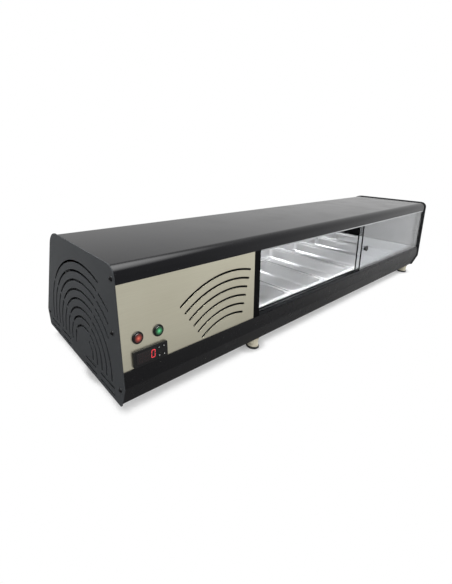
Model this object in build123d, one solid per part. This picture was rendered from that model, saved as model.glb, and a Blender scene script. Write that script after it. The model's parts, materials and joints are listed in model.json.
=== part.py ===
"""Refrigerated tapas display case, built piece by piece in millimetres.

The case stands on a table with +Z up and is drawn from the operator's side.  The building frame
has X from the outer face of the left end plate, Y from the end plate's front bulge towards the
customer, and Z from the table.  The machine compartment is at the left and the cold well with its
six trays at the right.  Every piece is moved at the end so that the origin is the centre of the
footprint.
"""
from build123d import *
from math import asin, cos, degrees, radians, sin, tan
import os

# Overall sizes
LENGTH = 1458.0            # over both end plates
FOOT_HEIGHT = 26.0         # table to the underside of the end plates
PLATE_HEIGHT = 262.0       # end plate, bottom to top
PLATE_DEPTH = 386.0        # end plate, front bulge to back bulge
PLATE_SHEET = 2.0

# End plate outline, with heights from its underside
TOE_SET_BACK = 11.0        # front toe behind the bulge
HEEL_SET_BACK = 11.0       # back heel in front of the back bulge
FRONT_BULGE_HEIGHT = 44.0
BACK_BULGE_HEIGHT = 41.0
FRONT_LEAN = 7.6           # degrees from upright, operator's side
BACK_LEAN = 19.8           # degrees from upright, customer's side
TOE_RADIUS = 6.0
BULGE_RADIUS = 16.0
FRONT_TOP_RADIUS = 22.0
BACK_TOP_RADIUS = 45.0

# Shell sheets, measured inwards from the end plate's edge
SHELL_INSET = 3.0
SHELL_SHEET = 1.2
TOUCH_GAP = 0.2            # between sheets that lie on each other
RUNNING_GAP = 0.3          # between pieces that stand or move beside each other
GLASS = 4.0                # sliding doors
CUSTOMER_GLASS = 5.0

# Heights from the underside of the end plates
FASCIA_TOP = 75.0          # top edge of the dark front fascia
REAR_FASCIA_TOP = 84.0
FASCIA_RETURN = 42.0       # fascia's fold under the pan, from the bulge
REAR_RETURN = 50.0
PAN_EDGE = 40.0            # upturned edge of the base pan
PAN_SHEET = 1.5
LEDGE_HEIGHT = 60.0        # ledge of the rear fascia that carries the glass
LEDGE_DEPTH = 30.0

# Drops from the top of the end plates
COVER_FRONT_DROP = 32.0    # bottom edge of the cover's front roll
COVER_BACK_DROP = 40.0
CEILING_DROP = 21.0
SEAL_HEIGHT = 11.0         # rubber strip between the customer's glass and the ceiling

# Stations along the length
PANEL_RIGHT = 352.0        # right edge of the stainless control panel
MULLION_RIGHT = 373.0
WALL_THICKNESS = 12.0      # insulated right end wall
WALL_GAP = 1.0             # above the pan's upturned edge
PANEL_LAP = 6.0            # panel behind the fascia and behind the cover
MULLION_LAP = 4.0
MULLION_BACK = 9.0         # back face of the mullion, inwards from the front line
BULKHEAD_GAP = 1.5         # behind the panel's edge
SIDE_GAP = 0.5             # bulkhead and rear panel short of the cold space
BULKHEAD_FOOT = 12.0       # height of the part that stands on the pan
BULKHEAD_FOOT_INSET = 60.0
PORT_BACK = 86.0           # opening for the cold return pipe, from the back bulge
PORT_HEIGHT = 24.0
PORT_RADIUS = 12.0
REAR_PANEL_REACH = 60.0    # rear panel's front limit behind the middle of the case
GLASS_REACH = 30.0
REAR_PANEL_LAP = 8.0

# Trays and well
TRAY_LENGTH = 325.0
TRAY_WIDTH = 176.0
TRAY_SPACE = 1.0           # least space between two trays
TRAY_DEPTH = 38.0
TRAY_SHEET = 0.8
TRAY_RIM = 11.0            # width of the flat rim
TRAY_RIM_SHEET = 1.2
TRAY_RIM_CORNER = 12.0
TRAY_CORNER = 18.0
TRAY_FLOOR_RADIUS = 7.0
TRAY_TAPER = 3.0           # degrees
TRAY_GAP = 1.0             # between the door track and the trays' front rims
RIM_HEIGHT = 79.0          # ledge that the tray rims rest on
WELL_DEPTH = 46.0
WELL_SHEET = 1.0
WELL_CLEARANCE = 1.6       # tray body to well wall
CROSSBAR_WIDTH = 14.0
CROSSBAR_HEIGHT = 6.0
FLANGE_BACK = 6.0          # well flange behind the trays
FOAM_WALL = 8.0            # insulation in front of and behind the well
FOAM_END = 3.0             # insulation at the well's two ends
FOAM_NOTCH = 20.0          # room for the door track's shelf
COIL_ROOM = 9.0
COIL_RADIUS = 4.0
COIL_TURNS = 5
COIL_INSET = 30.0          # from the well's front and rear walls
COIL_END_INSET = 45.0
PROBE_RADIUS = 3.0
PROBE_LENGTH = 40.0
PROBE_ROUND = 1.2
PROBE_INSET = 8.0

# Sliding doors, measured inwards from the front line and up along it from the bulge
TRACK_DEPTH = 4.4
DOOR_PITCH = 12.0          # front pane to rear pane
DOOR_OVERLAP = 10.0        # one door past the other when both are closed
DOOR_INSET = 6.0           # front face of the front pane
GROOVE_CLEARANCE = 0.4
TRACK_HEIGHT = 9.0
TRACK_FLOOR = 3.0
TRACK_WALL = 2.2           # behind the rear pane
SHELF_DROP = 2.0           # track's seat below the fascia's top edge
TOP_TRACK_HEIGHT = 13.0
TOP_TRACK_DROP = 3.0       # below the cover's front edge
DOOR_HEADROOM = 2.0        # above a door in its top groove
DOOR_GAP = 1.0             # between a closed door and its end wall
KNOB_RADIUS = 9.0
KNOB_HEIGHT = 7.2
KNOB_FROM_EDGE = 20.0
KNOB_ROUND = 2.2
LED_SET_BACK = 64.0        # front of the lamp channel from the front bulge
LED_WIDTH = 22.0
LED_HEIGHT = 9.0
LED_SHEET = 2.0
LED_END_GAP = 6.0
DIFFUSER_SHEET = 2.5
DIFFUSER_END_GAP = 7.0
SNAP_FIT = 0.05            # diffuser in its channel

# Vents: arches in the left end plate
ARCH_CENTRE = (152.0, 45.0)
ARCH_RADIUS = 185.0
ARCH_PITCH = 19.2
ARCH_COUNT = 9
SLOT_WIDTH = 4.6
BRIDGE_FRONT = 113.0       # degrees, where the front bridge crosses the arches
BRIDGE_BACK = 34.0
BRIDGE_HALF = 5.5          # millimetres each side of a bridge's middle
VENT_FRONT_MARGIN = 52.0
VENT_FLOOR = 38.0
ROW_HEIGHTS = (25.5, 10.0)
ROW_SPANS = ((34.5, 90.0), (108.0, 158.0), (236.5, 288.0), (305.0, 357.0))

# Vents: arcs in the control panel
PANEL_ARC_X = 273.6
PANEL_ARC_DROP = 39.5      # centre below the plate's underside, along the panel
PANEL_ARC_RADIUS = 243.0
PANEL_ARC_PITCH = 19.1
PANEL_ARC_COUNT = 6
PANEL_ARC_SPAN = (75.0, 124.5)
PANEL_SLOT = 4.6

# Controls on the panel
BUTTON_XS = {"red": 37.0, "green": 81.0}
BUTTON_HEIGHT = 130.4
BUTTON_RADIUS = 11.3
BUTTON_COLLAR = 2.6        # collar's height on the panel
COLLAR_ROUND = 1.2
BUTTON_BARREL = 10.0
BARREL_DEPTH = 26.0
BARREL_CLEARANCE = 0.2
LENS_RADIUS = 8.6
LENS_CLEARANCE = 0.35
LENS_RISE = 3.9            # lens top above the panel
LENS_DEPTH = 5.5           # lens below the panel's face
LENS_ROUND = 1.6
BUTTON_TRAVEL = 3.0
BUTTON_STOP = 0.5          # left under a pressed lens
NUT_RADIUS = 13.0
NUT_THICKNESS = 4.0
NUT_CLEARANCE = 0.05
CONTROLLER_X = 23.5
CONTROLLER_BOTTOM = 76.6
CONTROLLER_WIDTH = 74.0
CONTROLLER_HEIGHT = 31.0
CONTROLLER_BODY = (70.0, 28.4, 56.0)
CONTROLLER_FACE = 4.0
CONTROLLER_ROUND = 3.0
CONTROLLER_CLEARANCE = 0.3
WINDOW_LEFT = 30.8         # window's edges from the controller's centre
WINDOW_RIGHT = 12.3
WINDOW_HALF_HEIGHT = 11.3
WINDOW_SHEET = 1.2
WINDOW_CLEARANCE = 0.2
KEY_COLUMNS = {"set": 17.5, "up": 28.5, "power": 17.5, "down": 28.5}
KEY_ROW = 8.0              # each row of keys above or below the centre
KEY_SIZE = 5.0
KEY_RISE = 0.8
KEY_DEPTH = 2.2
KEY_TRAVEL = 1.0
KEY_STOP = 0.2             # left under a pressed key

# Machine compartment
COMPRESSOR_X = 232.0
COMPRESSOR_Y = 186.0
COMPRESSOR_RADIUS = 64.0
COMPRESSOR_HEIGHT = 128.0
COMPRESSOR_CROWN = 34.0    # rounding of the pot's top
COMPRESSOR_BASE_ROUND = 12.0
COMPRESSOR_PLATE = (150.0, 110.0, 3.0)
COMPRESSOR_BOLTS = (66.0, 46.0)
BOLT_HOLE = 5.0
SEAM_HEIGHT = 66.56        # weld seam above the pot's base
SEAM_RIM = 3.0
SEAM_THICKNESS = 4.0
TERMINALS = (46.0, 26.0, 44.0)
TERMINALS_HEIGHT = 60.0
TERMINALS_RISE = 6.0       # their middle in front of the pot
GROMMET_HEIGHT = 14.0
GROMMET_RADIUS = 9.0
GROMMET_BORE = 3.0
CONDENSER = (40.0, 190.0, 180.0)
CONDENSER_X = 16.0
CONDENSER_Y = 92.0
FIN_PITCH = 5.0
FIN_GAP = 2.75
FIN_DEPTH = 6.0
FIN_MARGIN = 6.0
BEND_COUNT = 4             # return bends of the condenser's tube, on each side
BEND_FIRST = 26.0
BEND_PITCH = 42.0
BEND_RADIUS = 12.0
BEND_TUBE = 4.0
FAN_SIZE = 150.0
FAN_THICKNESS = 38.0
FAN_BORE = 70.0
FAN_CORNER = 8.0
FAN_ARM = (8.0, 4.0)       # width and thickness
FAN_LUG = (16.0, 12.0)     # lugs that stand the frame on the pan
FAN_LUG_PLACE = 56.0
LUG_ROOT = 1.0             # lug sunk into the frame
FAN_BLADES = 7
FAN_HUB = 24.0
HUB_WALL = 4.0
HUB_DEPTH = 20.0
HUB_START = 4.0
HUB_FLOOR = 8.0
BLADE_GAP = 4.0            # blade tips to the frame's bore
BLADE_ROOT = 2.0           # blade sunk into the hub's wall
BLADE_WIDTH = 30.0
BLADE_SHEET = 2.0
BLADE_PITCH = 32.0         # degrees
MOTOR_RADIUS = 17.0
MOTOR_LENGTH = 16.0
SHAFT_RADIUS = 2.5
SHAFT_LENGTH = 13.0
SHAFT_START = 6.0
SHAFT_FIT = 0.05
DRIER_PLACE = (140.0, 86.0)   # middle along the case, and from the back bulge
DRIER_RADIUS = 10.0
DRIER_LENGTH = 90.0
DRIER_CONE = 14.0
DRIER_NECK = 3.4
HOT_PIPE_RADIUS = 3.2
COLD_PIPE_RADIUS = 4.0
PIPE_BEND = 12.0
PIPE_FIT = 0.1             # between a pipe's end and the face it meets
HOT_PIPE_INSET = 20.0      # from the pot's axis towards the back
HOT_PIPE_DROP = 6.0        # below the condenser's top
HOT_PIPE_TURN = 38.0       # behind the condenser
COLD_PIPE_HEIGHT = 40.0    # above the compressor's plate
COLD_PIPE_RUN = 24.0       # upright part from the panel's right edge
COLD_PIPE_REACH = 1.0      # end beyond the panel's right edge
WIRING_BOX = (106.0, 46.0, 26.0)
WIRING_BOX_PLACE = 24.0    # from the left plate and from the front bulge
WIRING_BOX_ROUND = 4.0
GLAND_X = 70.0
GLAND_HEIGHT = 62.0
GLAND_COLLAR = (11.0, 2.6)
GLAND_NOSE = (6.2, 12.0)
GLAND_BORE = 4.0
GLAND_CLEARANCE = 0.2

# Feet
FOOT_RADIUS = 16.0
LEG_INSET = 2.0            # leg inside its pad
PAD_HEIGHT = 6.0
PAD_ROUND = 1.5
STUD_RADIUS = 4.0
LEFT_FOOT = (30.0, 150.0)
MIDDLE_FOOT_X = 392.0
RIGHT_FOOT_INSET = 52.0    # from the right end
FRONT_FOOT_Y = 26.0
REAR_FOOT_INSET = 34.0     # from the back bulge

# Screws of the end plates as (y, height)
SCREW_PLACES = ((36.0, PLATE_HEIGHT - 22.0), (37.0, 141.0), (13.5, 37.0),
                (PLATE_DEPTH - 12.5, 38.0))
SCREW_HEAD = (5.0, 2.6)
SCREW_ROUND = 1.2
SCREW_CROSS = (6.0, 1.0, 2.2)
SCREW_CROSS_FLOOR = 1.6
SCREW_SHANK = (2.0, 10.0)
SCREW_CLEARANCE = 0.2
SCREW_POCKET = (0.5, 10.0) # round a shank, and the pocket's depth in the insulated wall

# How far cutting shapes reach past what they cut
CLEAR_THROUGH = 20.0

# Worked out from the sizes above
UPWARDS = (Align.CENTER, Align.CENTER, Align.MIN)
INNER_LEFT = PLATE_SHEET
INNER_RIGHT = LENGTH - PLATE_SHEET
COVER_FRONT_EDGE = PLATE_HEIGHT - COVER_FRONT_DROP
COVER_BACK_EDGE = PLATE_HEIGHT - COVER_BACK_DROP
CEILING_HEIGHT = PLATE_HEIGHT - CEILING_DROP
GLASS_TOP = CEILING_HEIGHT - SEAL_HEIGHT
CAVITY_LEFT = MULLION_RIGHT + DOOR_GAP
CAVITY_RIGHT = INNER_RIGHT - WALL_THICKNESS
TRAY_COUNT = int((CAVITY_RIGHT - CAVITY_LEFT) / (TRAY_WIDTH + TRAY_SPACE))
TRAY_PITCH = (CAVITY_RIGHT - CAVITY_LEFT) / TRAY_COUNT
DOOR_WIDTH = (CAVITY_RIGHT - CAVITY_LEFT + DOOR_OVERLAP) / 2
PANEL_INSET = SHELL_INSET + SHELL_SHEET + TOUCH_GAP
TRACK_WIDTH = DOOR_INSET + DOOR_PITCH + GLASS + TRACK_WALL - TRACK_DEPTH
PAN_FLOOR = FOOT_HEIGHT + PANEL_INSET + PAN_SHEET
WELL_TOP = FOOT_HEIGHT + RIM_HEIGHT
COMPRESSOR_BASE = PAN_FLOOR + GROMMET_HEIGHT
PORT_Y = PLATE_DEPTH - PORT_BACK
CONTROLLER_TOP = PANEL_INSET - CONTROLLER_FACE
TRACK_START = (FASCIA_TOP - FRONT_BULGE_HEIGHT) / cos(radians(FRONT_LEAN)) - SHELF_DROP
TRACK_BACK = ((TRACK_DEPTH + TRACK_WIDTH) * cos(radians(FRONT_LEAN))
              + (TRACK_START + TRACK_HEIGHT) * sin(radians(FRONT_LEAN)))
TRAY_FRONT = TRACK_BACK + TRAY_GAP
FOOT_PLACES = [LEFT_FOOT] + [(x, y) for x in (MIDDLE_FOOT_X, LENGTH - RIGHT_FOOT_INSET)
                             for y in (FRONT_FOOT_Y, PLATE_DEPTH - REAR_FOOT_INSET)]


def outline(inset=0.0):
    """Side outline of the case, drawn as (y, z) and moved inwards by the inset."""
    rise_front = PLATE_HEIGHT - FRONT_BULGE_HEIGHT
    rise_back = PLATE_HEIGHT - BACK_BULGE_HEIGHT
    corners = (
        (TOE_SET_BACK, 0.0, TOE_RADIUS),
        (0.0, FRONT_BULGE_HEIGHT, BULGE_RADIUS),
        (rise_front * tan(radians(FRONT_LEAN)), PLATE_HEIGHT, FRONT_TOP_RADIUS),
        (PLATE_DEPTH - rise_back * tan(radians(BACK_LEAN)), PLATE_HEIGHT, BACK_TOP_RADIUS),
        (PLATE_DEPTH, BACK_BULGE_HEIGHT, BULGE_RADIUS),
        (PLATE_DEPTH - HEEL_SET_BACK, 0.0, TOE_RADIUS),
    )
    face = Polygon(*[(y, z + FOOT_HEIGHT) for y, z, _ in corners], align=None)
    for y, z, radius in corners:
        spot = Vector(y, z + FOOT_HEIGHT, 0)
        corner = min(face.vertices(), key=lambda v: (Vector(v.X, v.Y, v.Z) - spot).length)
        face = fillet(corner, radius)
    if inset:
        face = offset(face, amount=-inset, kind=Kind.INTERSECTION)
    return face


def along_x(face, start, end):
    """Stretch a (y, z) face from one X station to another."""
    return extrude(Plane.YZ.offset(start) * face, amount=end - start, dir=(1, 0, 0))


def rectangle(y0, y1, z0, z1):
    """A (y, z) rectangle with heights from the end plates' underside."""
    centre = Location(((y0 + y1) / 2, (z0 + z1) / 2 + FOOT_HEIGHT, 0))
    return centre * Rectangle(y1 - y0, z1 - z0)


def block(x0, x1, y0, y1, z0, z1):
    """A box given by its six sides in the building frame."""
    centre = Location(((x0 + x1) / 2, (y0 + y1) / 2, (z0 + z1) / 2))
    return centre * Box(x1 - x0, y1 - y0, z1 - z0)


def skin(inset, sheet):
    """A closed band of sheet that follows the side outline."""
    return outline(inset) - outline(inset + sheet)


def front_plane(depth=0.0):
    """Plane of the leaning front: local X along the case, local Y up the slope, Z outwards."""
    lean = radians(FRONT_LEAN)
    start = (0, depth * cos(lean), FOOT_HEIGHT + FRONT_BULGE_HEIGHT - depth * sin(lean))
    return Plane(origin=start, x_dir=(1, 0, 0), z_dir=(0, -cos(lean), sin(lean)))


def slope(height):
    """Distance up the front slope, from the bulge, of a height above the plates' underside."""
    return (height - FRONT_BULGE_HEIGHT) / cos(radians(FRONT_LEAN))


def front_block(x0, x1, v0, v1, w0, w1):
    """A box on the leaning front: v runs up the slope and w inwards from the plates' edge."""
    centre = Location(((x0 + x1) / 2, (v0 + v1) / 2, -(w0 + w1) / 2))
    return front_plane() * (centre * Box(x1 - x0, v1 - v0, w1 - w0))


def centred_block(centre, width, height, w0, w1):
    """A box on the leaning front, about a centre given as x and v."""
    x, v = centre
    return front_block(x - width / 2, x + width / 2, v - height / 2, v + height / 2, w0, w1)


def front_post(x, v, radius, w0, w1):
    """A round post square to the leaning front, from depth w0 to depth w1."""
    centre = Location((x, v, -(w0 + w1) / 2))
    return front_plane() * (centre * Cylinder(radius, w1 - w0))


def on_circle(centre, radius, angle):
    """Point at an angle in degrees on a circle."""
    return (centre[0] + radius * cos(radians(angle)), centre[1] + radius * sin(radians(angle)))


def arc_slot(centre, radius, start, end, width):
    """A round-ended slot along an arc, as a flat face; angles in degrees."""
    outer, inner = radius + width / 2, radius - width / 2
    middle = (start + end) / 2
    slot = make_face([
        ThreePointArc(*[on_circle(centre, outer, a) for a in (start, middle, end)]),
        Line(on_circle(centre, outer, end), on_circle(centre, inner, end)),
        ThreePointArc(*[on_circle(centre, inner, a) for a in (end, middle, start)]),
        Line(on_circle(centre, inner, start), on_circle(centre, outer, start)),
    ])
    for angle in (start, end):
        slot += Location(on_circle(centre, radius, angle)) * Circle(width / 2)
    return slot


def vent_arches():
    """Faces of all the arched slots in the left end plate, as (y, z)."""
    centre = (ARCH_CENTRE[0], ARCH_CENTRE[1] + FOOT_HEIGHT)
    faces = []
    for number in range(ARCH_COUNT):
        radius = ARCH_RADIUS - number * ARCH_PITCH
        bridge = degrees(BRIDGE_HALF / radius)
        floor_angle = degrees(asin((ARCH_CENTRE[1] - VENT_FLOOR) / radius))
        if number < ARCH_COUNT - 1:
            faces.append(arc_slot(centre, radius, BRIDGE_BACK + bridge, BRIDGE_FRONT - bridge,
                                  SLOT_WIDTH))
            faces.append(arc_slot(centre, radius, -floor_angle, BRIDGE_BACK - bridge, SLOT_WIDTH))
        if number > 0:
            reach = (ARCH_CENTRE[0] - VENT_FRONT_MARGIN) / radius
            last = 180.0 + floor_angle
            if reach < 0.9:
                last = 90.0 + degrees(asin(reach))
            faces.append(arc_slot(centre, radius, BRIDGE_FRONT + bridge, last, SLOT_WIDTH))
    return faces


def screw_holes(x0, x1, clearance):
    """Round bores between two X stations at the screw places."""
    return [Location(((x0 + x1) / 2, y, height + FOOT_HEIGHT), (0, 90, 0))
            * Cylinder(SCREW_SHANK[0] + clearance, x1 - x0) for y, height in SCREW_PLACES]


def end_plate_left():
    """Left end plate with its arched vents and two rows of straight slots."""
    face = outline()
    for slot in vent_arches():
        face -= slot
    for height in ROW_HEIGHTS:
        for start, end in ROW_SPANS:
            spot = Location(((start + end) / 2, height + FOOT_HEIGHT, 0))
            face -= spot * SlotOverall(end - start, SLOT_WIDTH)
    plate = along_x(face, 0, PLATE_SHEET)
    for bore in screw_holes(0, PLATE_SHEET, SCREW_CLEARANCE):
        plate -= bore
    return plate


def end_plate_right():
    """Plain right end plate."""
    plate = along_x(outline(), INNER_RIGHT, LENGTH)
    for bore in screw_holes(INNER_RIGHT, LENGTH, SCREW_CLEARANCE):
        plate -= bore
    return plate


def end_plate_screws():
    """Pan-head screws through both end plates."""
    screws = []
    for side in (-1, 1):
        face_x = 0 if side < 0 else LENGTH
        for y, height in SCREW_PLACES:
            head = Cylinder(*SCREW_HEAD, align=UPWARDS)
            head = fillet(head.edges().group_by(Axis.Z)[-1], SCREW_ROUND)
            for turn in (0, 90):
                head -= Location((0, 0, SCREW_CROSS_FLOOR), (0, 0, turn)) * Box(*SCREW_CROSS)
            shank = Cylinder(*SCREW_SHANK, align=(Align.CENTER, Align.CENTER, Align.MAX))
            spot = Location((face_x, y, height + FOOT_HEIGHT), (0, 90 * side, 0))
            screws.append(spot * (head + shank))
    return screws


def top_cover():
    """Bent cover sheet with a rolled front edge and a larger roll at the back."""
    band = skin(SHELL_INSET, SHELL_SHEET)
    front = rectangle(-CLEAR_THROUGH, PLATE_DEPTH / 2, COVER_FRONT_EDGE,
                      PLATE_HEIGHT + CLEAR_THROUGH)
    back = rectangle(PLATE_DEPTH / 2, PLATE_DEPTH + CLEAR_THROUGH, COVER_BACK_EDGE,
                     PLATE_HEIGHT + CLEAR_THROUGH)
    return along_x(band & (front + back), INNER_LEFT, INNER_RIGHT)


def lower_fascia():
    """Dark front fascia in two facets, with a shelf behind its top edge for the door track."""
    band = skin(SHELL_INSET, SHELL_SHEET)
    window = rectangle(-CLEAR_THROUGH, FASCIA_RETURN, -CLEAR_THROUGH, FASCIA_TOP)
    sheet = along_x(band & window, INNER_LEFT, INNER_RIGHT)
    for bore in stud_bores():
        sheet -= bore
    shelf = front_block(CAVITY_LEFT, CAVITY_RIGHT, TRACK_START - SHELL_SHEET, TRACK_START,
                        SHELL_INSET + SHELL_SHEET / 2, TRACK_DEPTH + TRACK_WIDTH)
    return sheet + shelf


def rear_fascia():
    """Lower sheet on the customer's side, with a ledge that carries the glass."""
    band = skin(SHELL_INSET, SHELL_SHEET)
    window = rectangle(PLATE_DEPTH - REAR_RETURN, PLATE_DEPTH + CLEAR_THROUGH, -CLEAR_THROUGH,
                       REAR_FASCIA_TOP)
    sheet = along_x(band & window, INNER_LEFT, INNER_RIGHT) - gland_bore()
    for bore in stud_bores():
        sheet -= bore
    inside = outline(SHELL_INSET + SHELL_SHEET / 2)
    ledge = inside & rectangle(PLATE_DEPTH - LEDGE_DEPTH, PLATE_DEPTH, LEDGE_HEIGHT,
                               LEDGE_HEIGHT + SHELL_SHEET)
    return sheet + along_x(ledge, CAVITY_LEFT, CAVITY_RIGHT)


def base_pan():
    """Floor pan with upturned edges inside both fascias."""
    band = skin(PANEL_INSET, PAN_SHEET)
    window = rectangle(-CLEAR_THROUGH, PLATE_DEPTH + CLEAR_THROUGH, -CLEAR_THROUGH, PAN_EDGE)
    pan = along_x(band & window, INNER_LEFT, INNER_RIGHT)
    for bore in stud_bores():
        pan -= bore
    return pan


def control_panel():
    """Stainless panel with six arc slots, two lamp holes and the controller's window."""
    low = slope(FASCIA_TOP) - PANEL_LAP
    high = slope(COVER_FRONT_EDGE) + PANEL_LAP
    panel = front_block(INNER_LEFT + TOUCH_GAP, PANEL_RIGHT, low, high,
                        PANEL_INSET, PANEL_INSET + SHELL_SHEET)
    centre = (PANEL_ARC_X, slope(0.0) - PANEL_ARC_DROP)
    for number in range(PANEL_ARC_COUNT):
        slot = arc_slot(centre, PANEL_ARC_RADIUS - number * PANEL_ARC_PITCH,
                        *PANEL_ARC_SPAN, PANEL_SLOT)
        panel -= extrude(front_plane() * slot, amount=CLEAR_THROUGH, both=True)
    for x in BUTTON_XS.values():
        panel -= front_post(x, slope(BUTTON_HEIGHT), BUTTON_BARREL + BARREL_CLEARANCE,
                            0, CLEAR_THROUGH)
    width, height, _ = CONTROLLER_BODY
    return panel - centred_block(controller_centre(), width + 2 * CONTROLLER_CLEARANCE,
                                 height + 2 * CONTROLLER_CLEARANCE, 0, CLEAR_THROUGH)


def controller_centre():
    """Centre of the controller's face on the front slope."""
    return (CONTROLLER_X + CONTROLLER_WIDTH / 2,
            slope(CONTROLLER_BOTTOM) + CONTROLLER_HEIGHT / 2)


def key_places():
    """The four key centres on the controller's face: two columns, two rows."""
    x, v = controller_centre()
    return {name: (x + column, v + (KEY_ROW if name in ("set", "up") else -KEY_ROW))
            for name, column in KEY_COLUMNS.items()}


def controller_housing():
    """Controller body through the panel with its raised black bezel."""
    centre = controller_centre()
    width, height, depth = CONTROLLER_BODY
    bezel = centred_block(centre, CONTROLLER_WIDTH, CONTROLLER_HEIGHT, CONTROLLER_TOP, PANEL_INSET)
    outward = front_plane().z_dir
    corners = bezel.edges().filter_by(lambda e: abs(e.tangent_at(0.5).dot(outward)) > 0.99)
    bezel = fillet(corners, CONTROLLER_ROUND)
    housing = bezel + centred_block(centre, width, height, PANEL_INSET, PANEL_INSET + depth)
    housing -= window_block(WINDOW_CLEARANCE, CONTROLLER_TOP - CONTROLLER_FACE)
    pocket = KEY_SIZE + 2 * RUNNING_GAP
    for place in key_places().values():
        housing -= centred_block(place, pocket, pocket, CONTROLLER_TOP - CONTROLLER_FACE,
                                 CONTROLLER_TOP + KEY_DEPTH + KEY_TRAVEL + KEY_STOP)
    return housing


def window_block(clearance, w0):
    """The display window's shape, wider by a clearance, from depth w0 to its back."""
    x, v = controller_centre()
    half = WINDOW_HALF_HEIGHT + clearance
    return front_block(x - WINDOW_LEFT - clearance, x + WINDOW_RIGHT + clearance,
                       v - half, v + half, w0, CONTROLLER_TOP + WINDOW_SHEET)


def controller_window():
    """Dark display window, let into the controller's face."""
    return window_block(0.0, CONTROLLER_TOP)


def controller_key(name):
    """One square key of the controller."""
    return centred_block(key_places()[name], KEY_SIZE, KEY_SIZE, CONTROLLER_TOP - KEY_RISE,
                         CONTROLLER_TOP + KEY_DEPTH)


def outer_edge(post):
    """The round edge at the front end of a post on the leaning front."""
    return post.edges().filter_by(GeomType.CIRCLE).sort_by(Axis.Y)[0]


def button_bezel(colour):
    """Black collar and threaded barrel of an illuminated button."""
    x, v = BUTTON_XS[colour], slope(BUTTON_HEIGHT)
    collar = front_post(x, v, BUTTON_RADIUS, PANEL_INSET - BUTTON_COLLAR, PANEL_INSET)
    collar = fillet(outer_edge(collar), COLLAR_ROUND)
    barrel = front_post(x, v, BUTTON_BARREL, PANEL_INSET, PANEL_INSET + BARREL_DEPTH)
    bore = front_post(x, v, LENS_RADIUS + LENS_CLEARANCE, PANEL_INSET - 2 * BUTTON_COLLAR,
                      PANEL_INSET + LENS_DEPTH + BUTTON_TRAVEL + BUTTON_STOP)
    return collar + barrel - bore


def button_lens(colour):
    """Flat coloured lens with a rounded edge that pushes into its collar."""
    x, v = BUTTON_XS[colour], slope(BUTTON_HEIGHT)
    lens = front_post(x, v, LENS_RADIUS, PANEL_INSET - LENS_RISE, PANEL_INSET + LENS_DEPTH)
    return fillet(outer_edge(lens), LENS_ROUND)


def button_nut(colour):
    """Ring nut that holds a button's barrel behind the panel."""
    x, v = BUTTON_XS[colour], slope(BUTTON_HEIGHT)
    back = PANEL_INSET + SHELL_SHEET
    hexagon = front_plane(back) * (Location((x, v, 0)) * RegularPolygon(NUT_RADIUS, 6))
    prism = extrude(hexagon, amount=-NUT_THICKNESS)
    return prism - front_post(x, v, BUTTON_BARREL + NUT_CLEARANCE, back - NUT_THICKNESS,
                              back + 2 * NUT_THICKNESS)


def mullion():
    """Black upright between the control panel and the sliding doors."""
    return front_block(PANEL_RIGHT + RUNNING_GAP, MULLION_RIGHT,
                       slope(FASCIA_TOP) - MULLION_LAP, slope(COVER_FRONT_EDGE) + MULLION_LAP,
                       PANEL_INSET, MULLION_BACK)


def bulkhead():
    """Insulated wall between the machine compartment and the cold well."""
    left, right = PANEL_RIGHT + BULKHEAD_GAP, MULLION_RIGHT - SIDE_GAP
    wall = along_x(outline(MULLION_BACK + TOUCH_GAP), left, right)
    wall += block(left, right, BULKHEAD_FOOT_INSET, PLATE_DEPTH - BULKHEAD_FOOT_INSET,
                  PAN_FLOOR, PAN_FLOOR + BULKHEAD_FOOT)
    port = Location(((left + right) / 2, PORT_Y, FOOT_HEIGHT + PORT_HEIGHT), (0, 90, 0))
    return wall - port * Cylinder(PORT_RADIUS, 2 * CLEAR_THROUGH)


def right_wall():
    """Insulated end wall of the display space, against the right end plate."""
    window = rectangle(-CLEAR_THROUGH, PLATE_DEPTH + CLEAR_THROUGH, PAN_EDGE + WALL_GAP,
                       PLATE_HEIGHT)
    wall = along_x(outline(PANEL_INSET) & window, CAVITY_RIGHT, INNER_RIGHT)
    clearance, depth = SCREW_POCKET
    for pocket in screw_holes(INNER_RIGHT - depth, INNER_RIGHT, clearance):
        wall -= pocket
    return wall


def ceiling_panel():
    """Insulated ceiling that fills the roof under the cover, above the display space."""
    lean = radians(FRONT_LEAN)
    track_back = (slope(COVER_FRONT_EDGE) + TOP_TRACK_HEIGHT) * sin(lean)
    start = track_back + (TRACK_DEPTH + TRACK_WIDTH) * cos(lean) + RUNNING_GAP
    face = outline(PANEL_INSET) & rectangle(start, PLATE_DEPTH, CEILING_HEIGHT, PLATE_HEIGHT)
    return along_x(face, CAVITY_LEFT, CAVITY_RIGHT)


def machine_rear_panel():
    """Blank panel that closes the machine compartment on the customer's side."""
    face = skin(PANEL_INSET, SHELL_SHEET) & rectangle(
        PLATE_DEPTH / 2 + REAR_PANEL_REACH, PLATE_DEPTH + CLEAR_THROUGH,
        REAR_FASCIA_TOP - REAR_PANEL_LAP, COVER_BACK_EDGE + REAR_PANEL_LAP)
    return along_x(face, INNER_LEFT + TOUCH_GAP, CAVITY_LEFT - SIDE_GAP)


def customer_glass():
    """Fixed slanted glass on the customer's side."""
    face = skin(PANEL_INSET, CUSTOMER_GLASS) & rectangle(
        PLATE_DEPTH / 2 + GLASS_REACH, PLATE_DEPTH + CLEAR_THROUGH,
        LEDGE_HEIGHT + SHELL_SHEET, GLASS_TOP)
    return along_x(face, CAVITY_LEFT, CAVITY_RIGHT)


def glass_seal():
    """Rubber strip that holds the glass under the cover's back roll."""
    face = skin(PANEL_INSET, CUSTOMER_GLASS) & rectangle(
        PLATE_DEPTH / 2 + GLASS_REACH, PLATE_DEPTH + CLEAR_THROUGH,
        GLASS_TOP + TOUCH_GAP, CEILING_HEIGHT - TOUCH_GAP)
    return along_x(face, CAVITY_LEFT, CAVITY_RIGHT)


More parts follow.
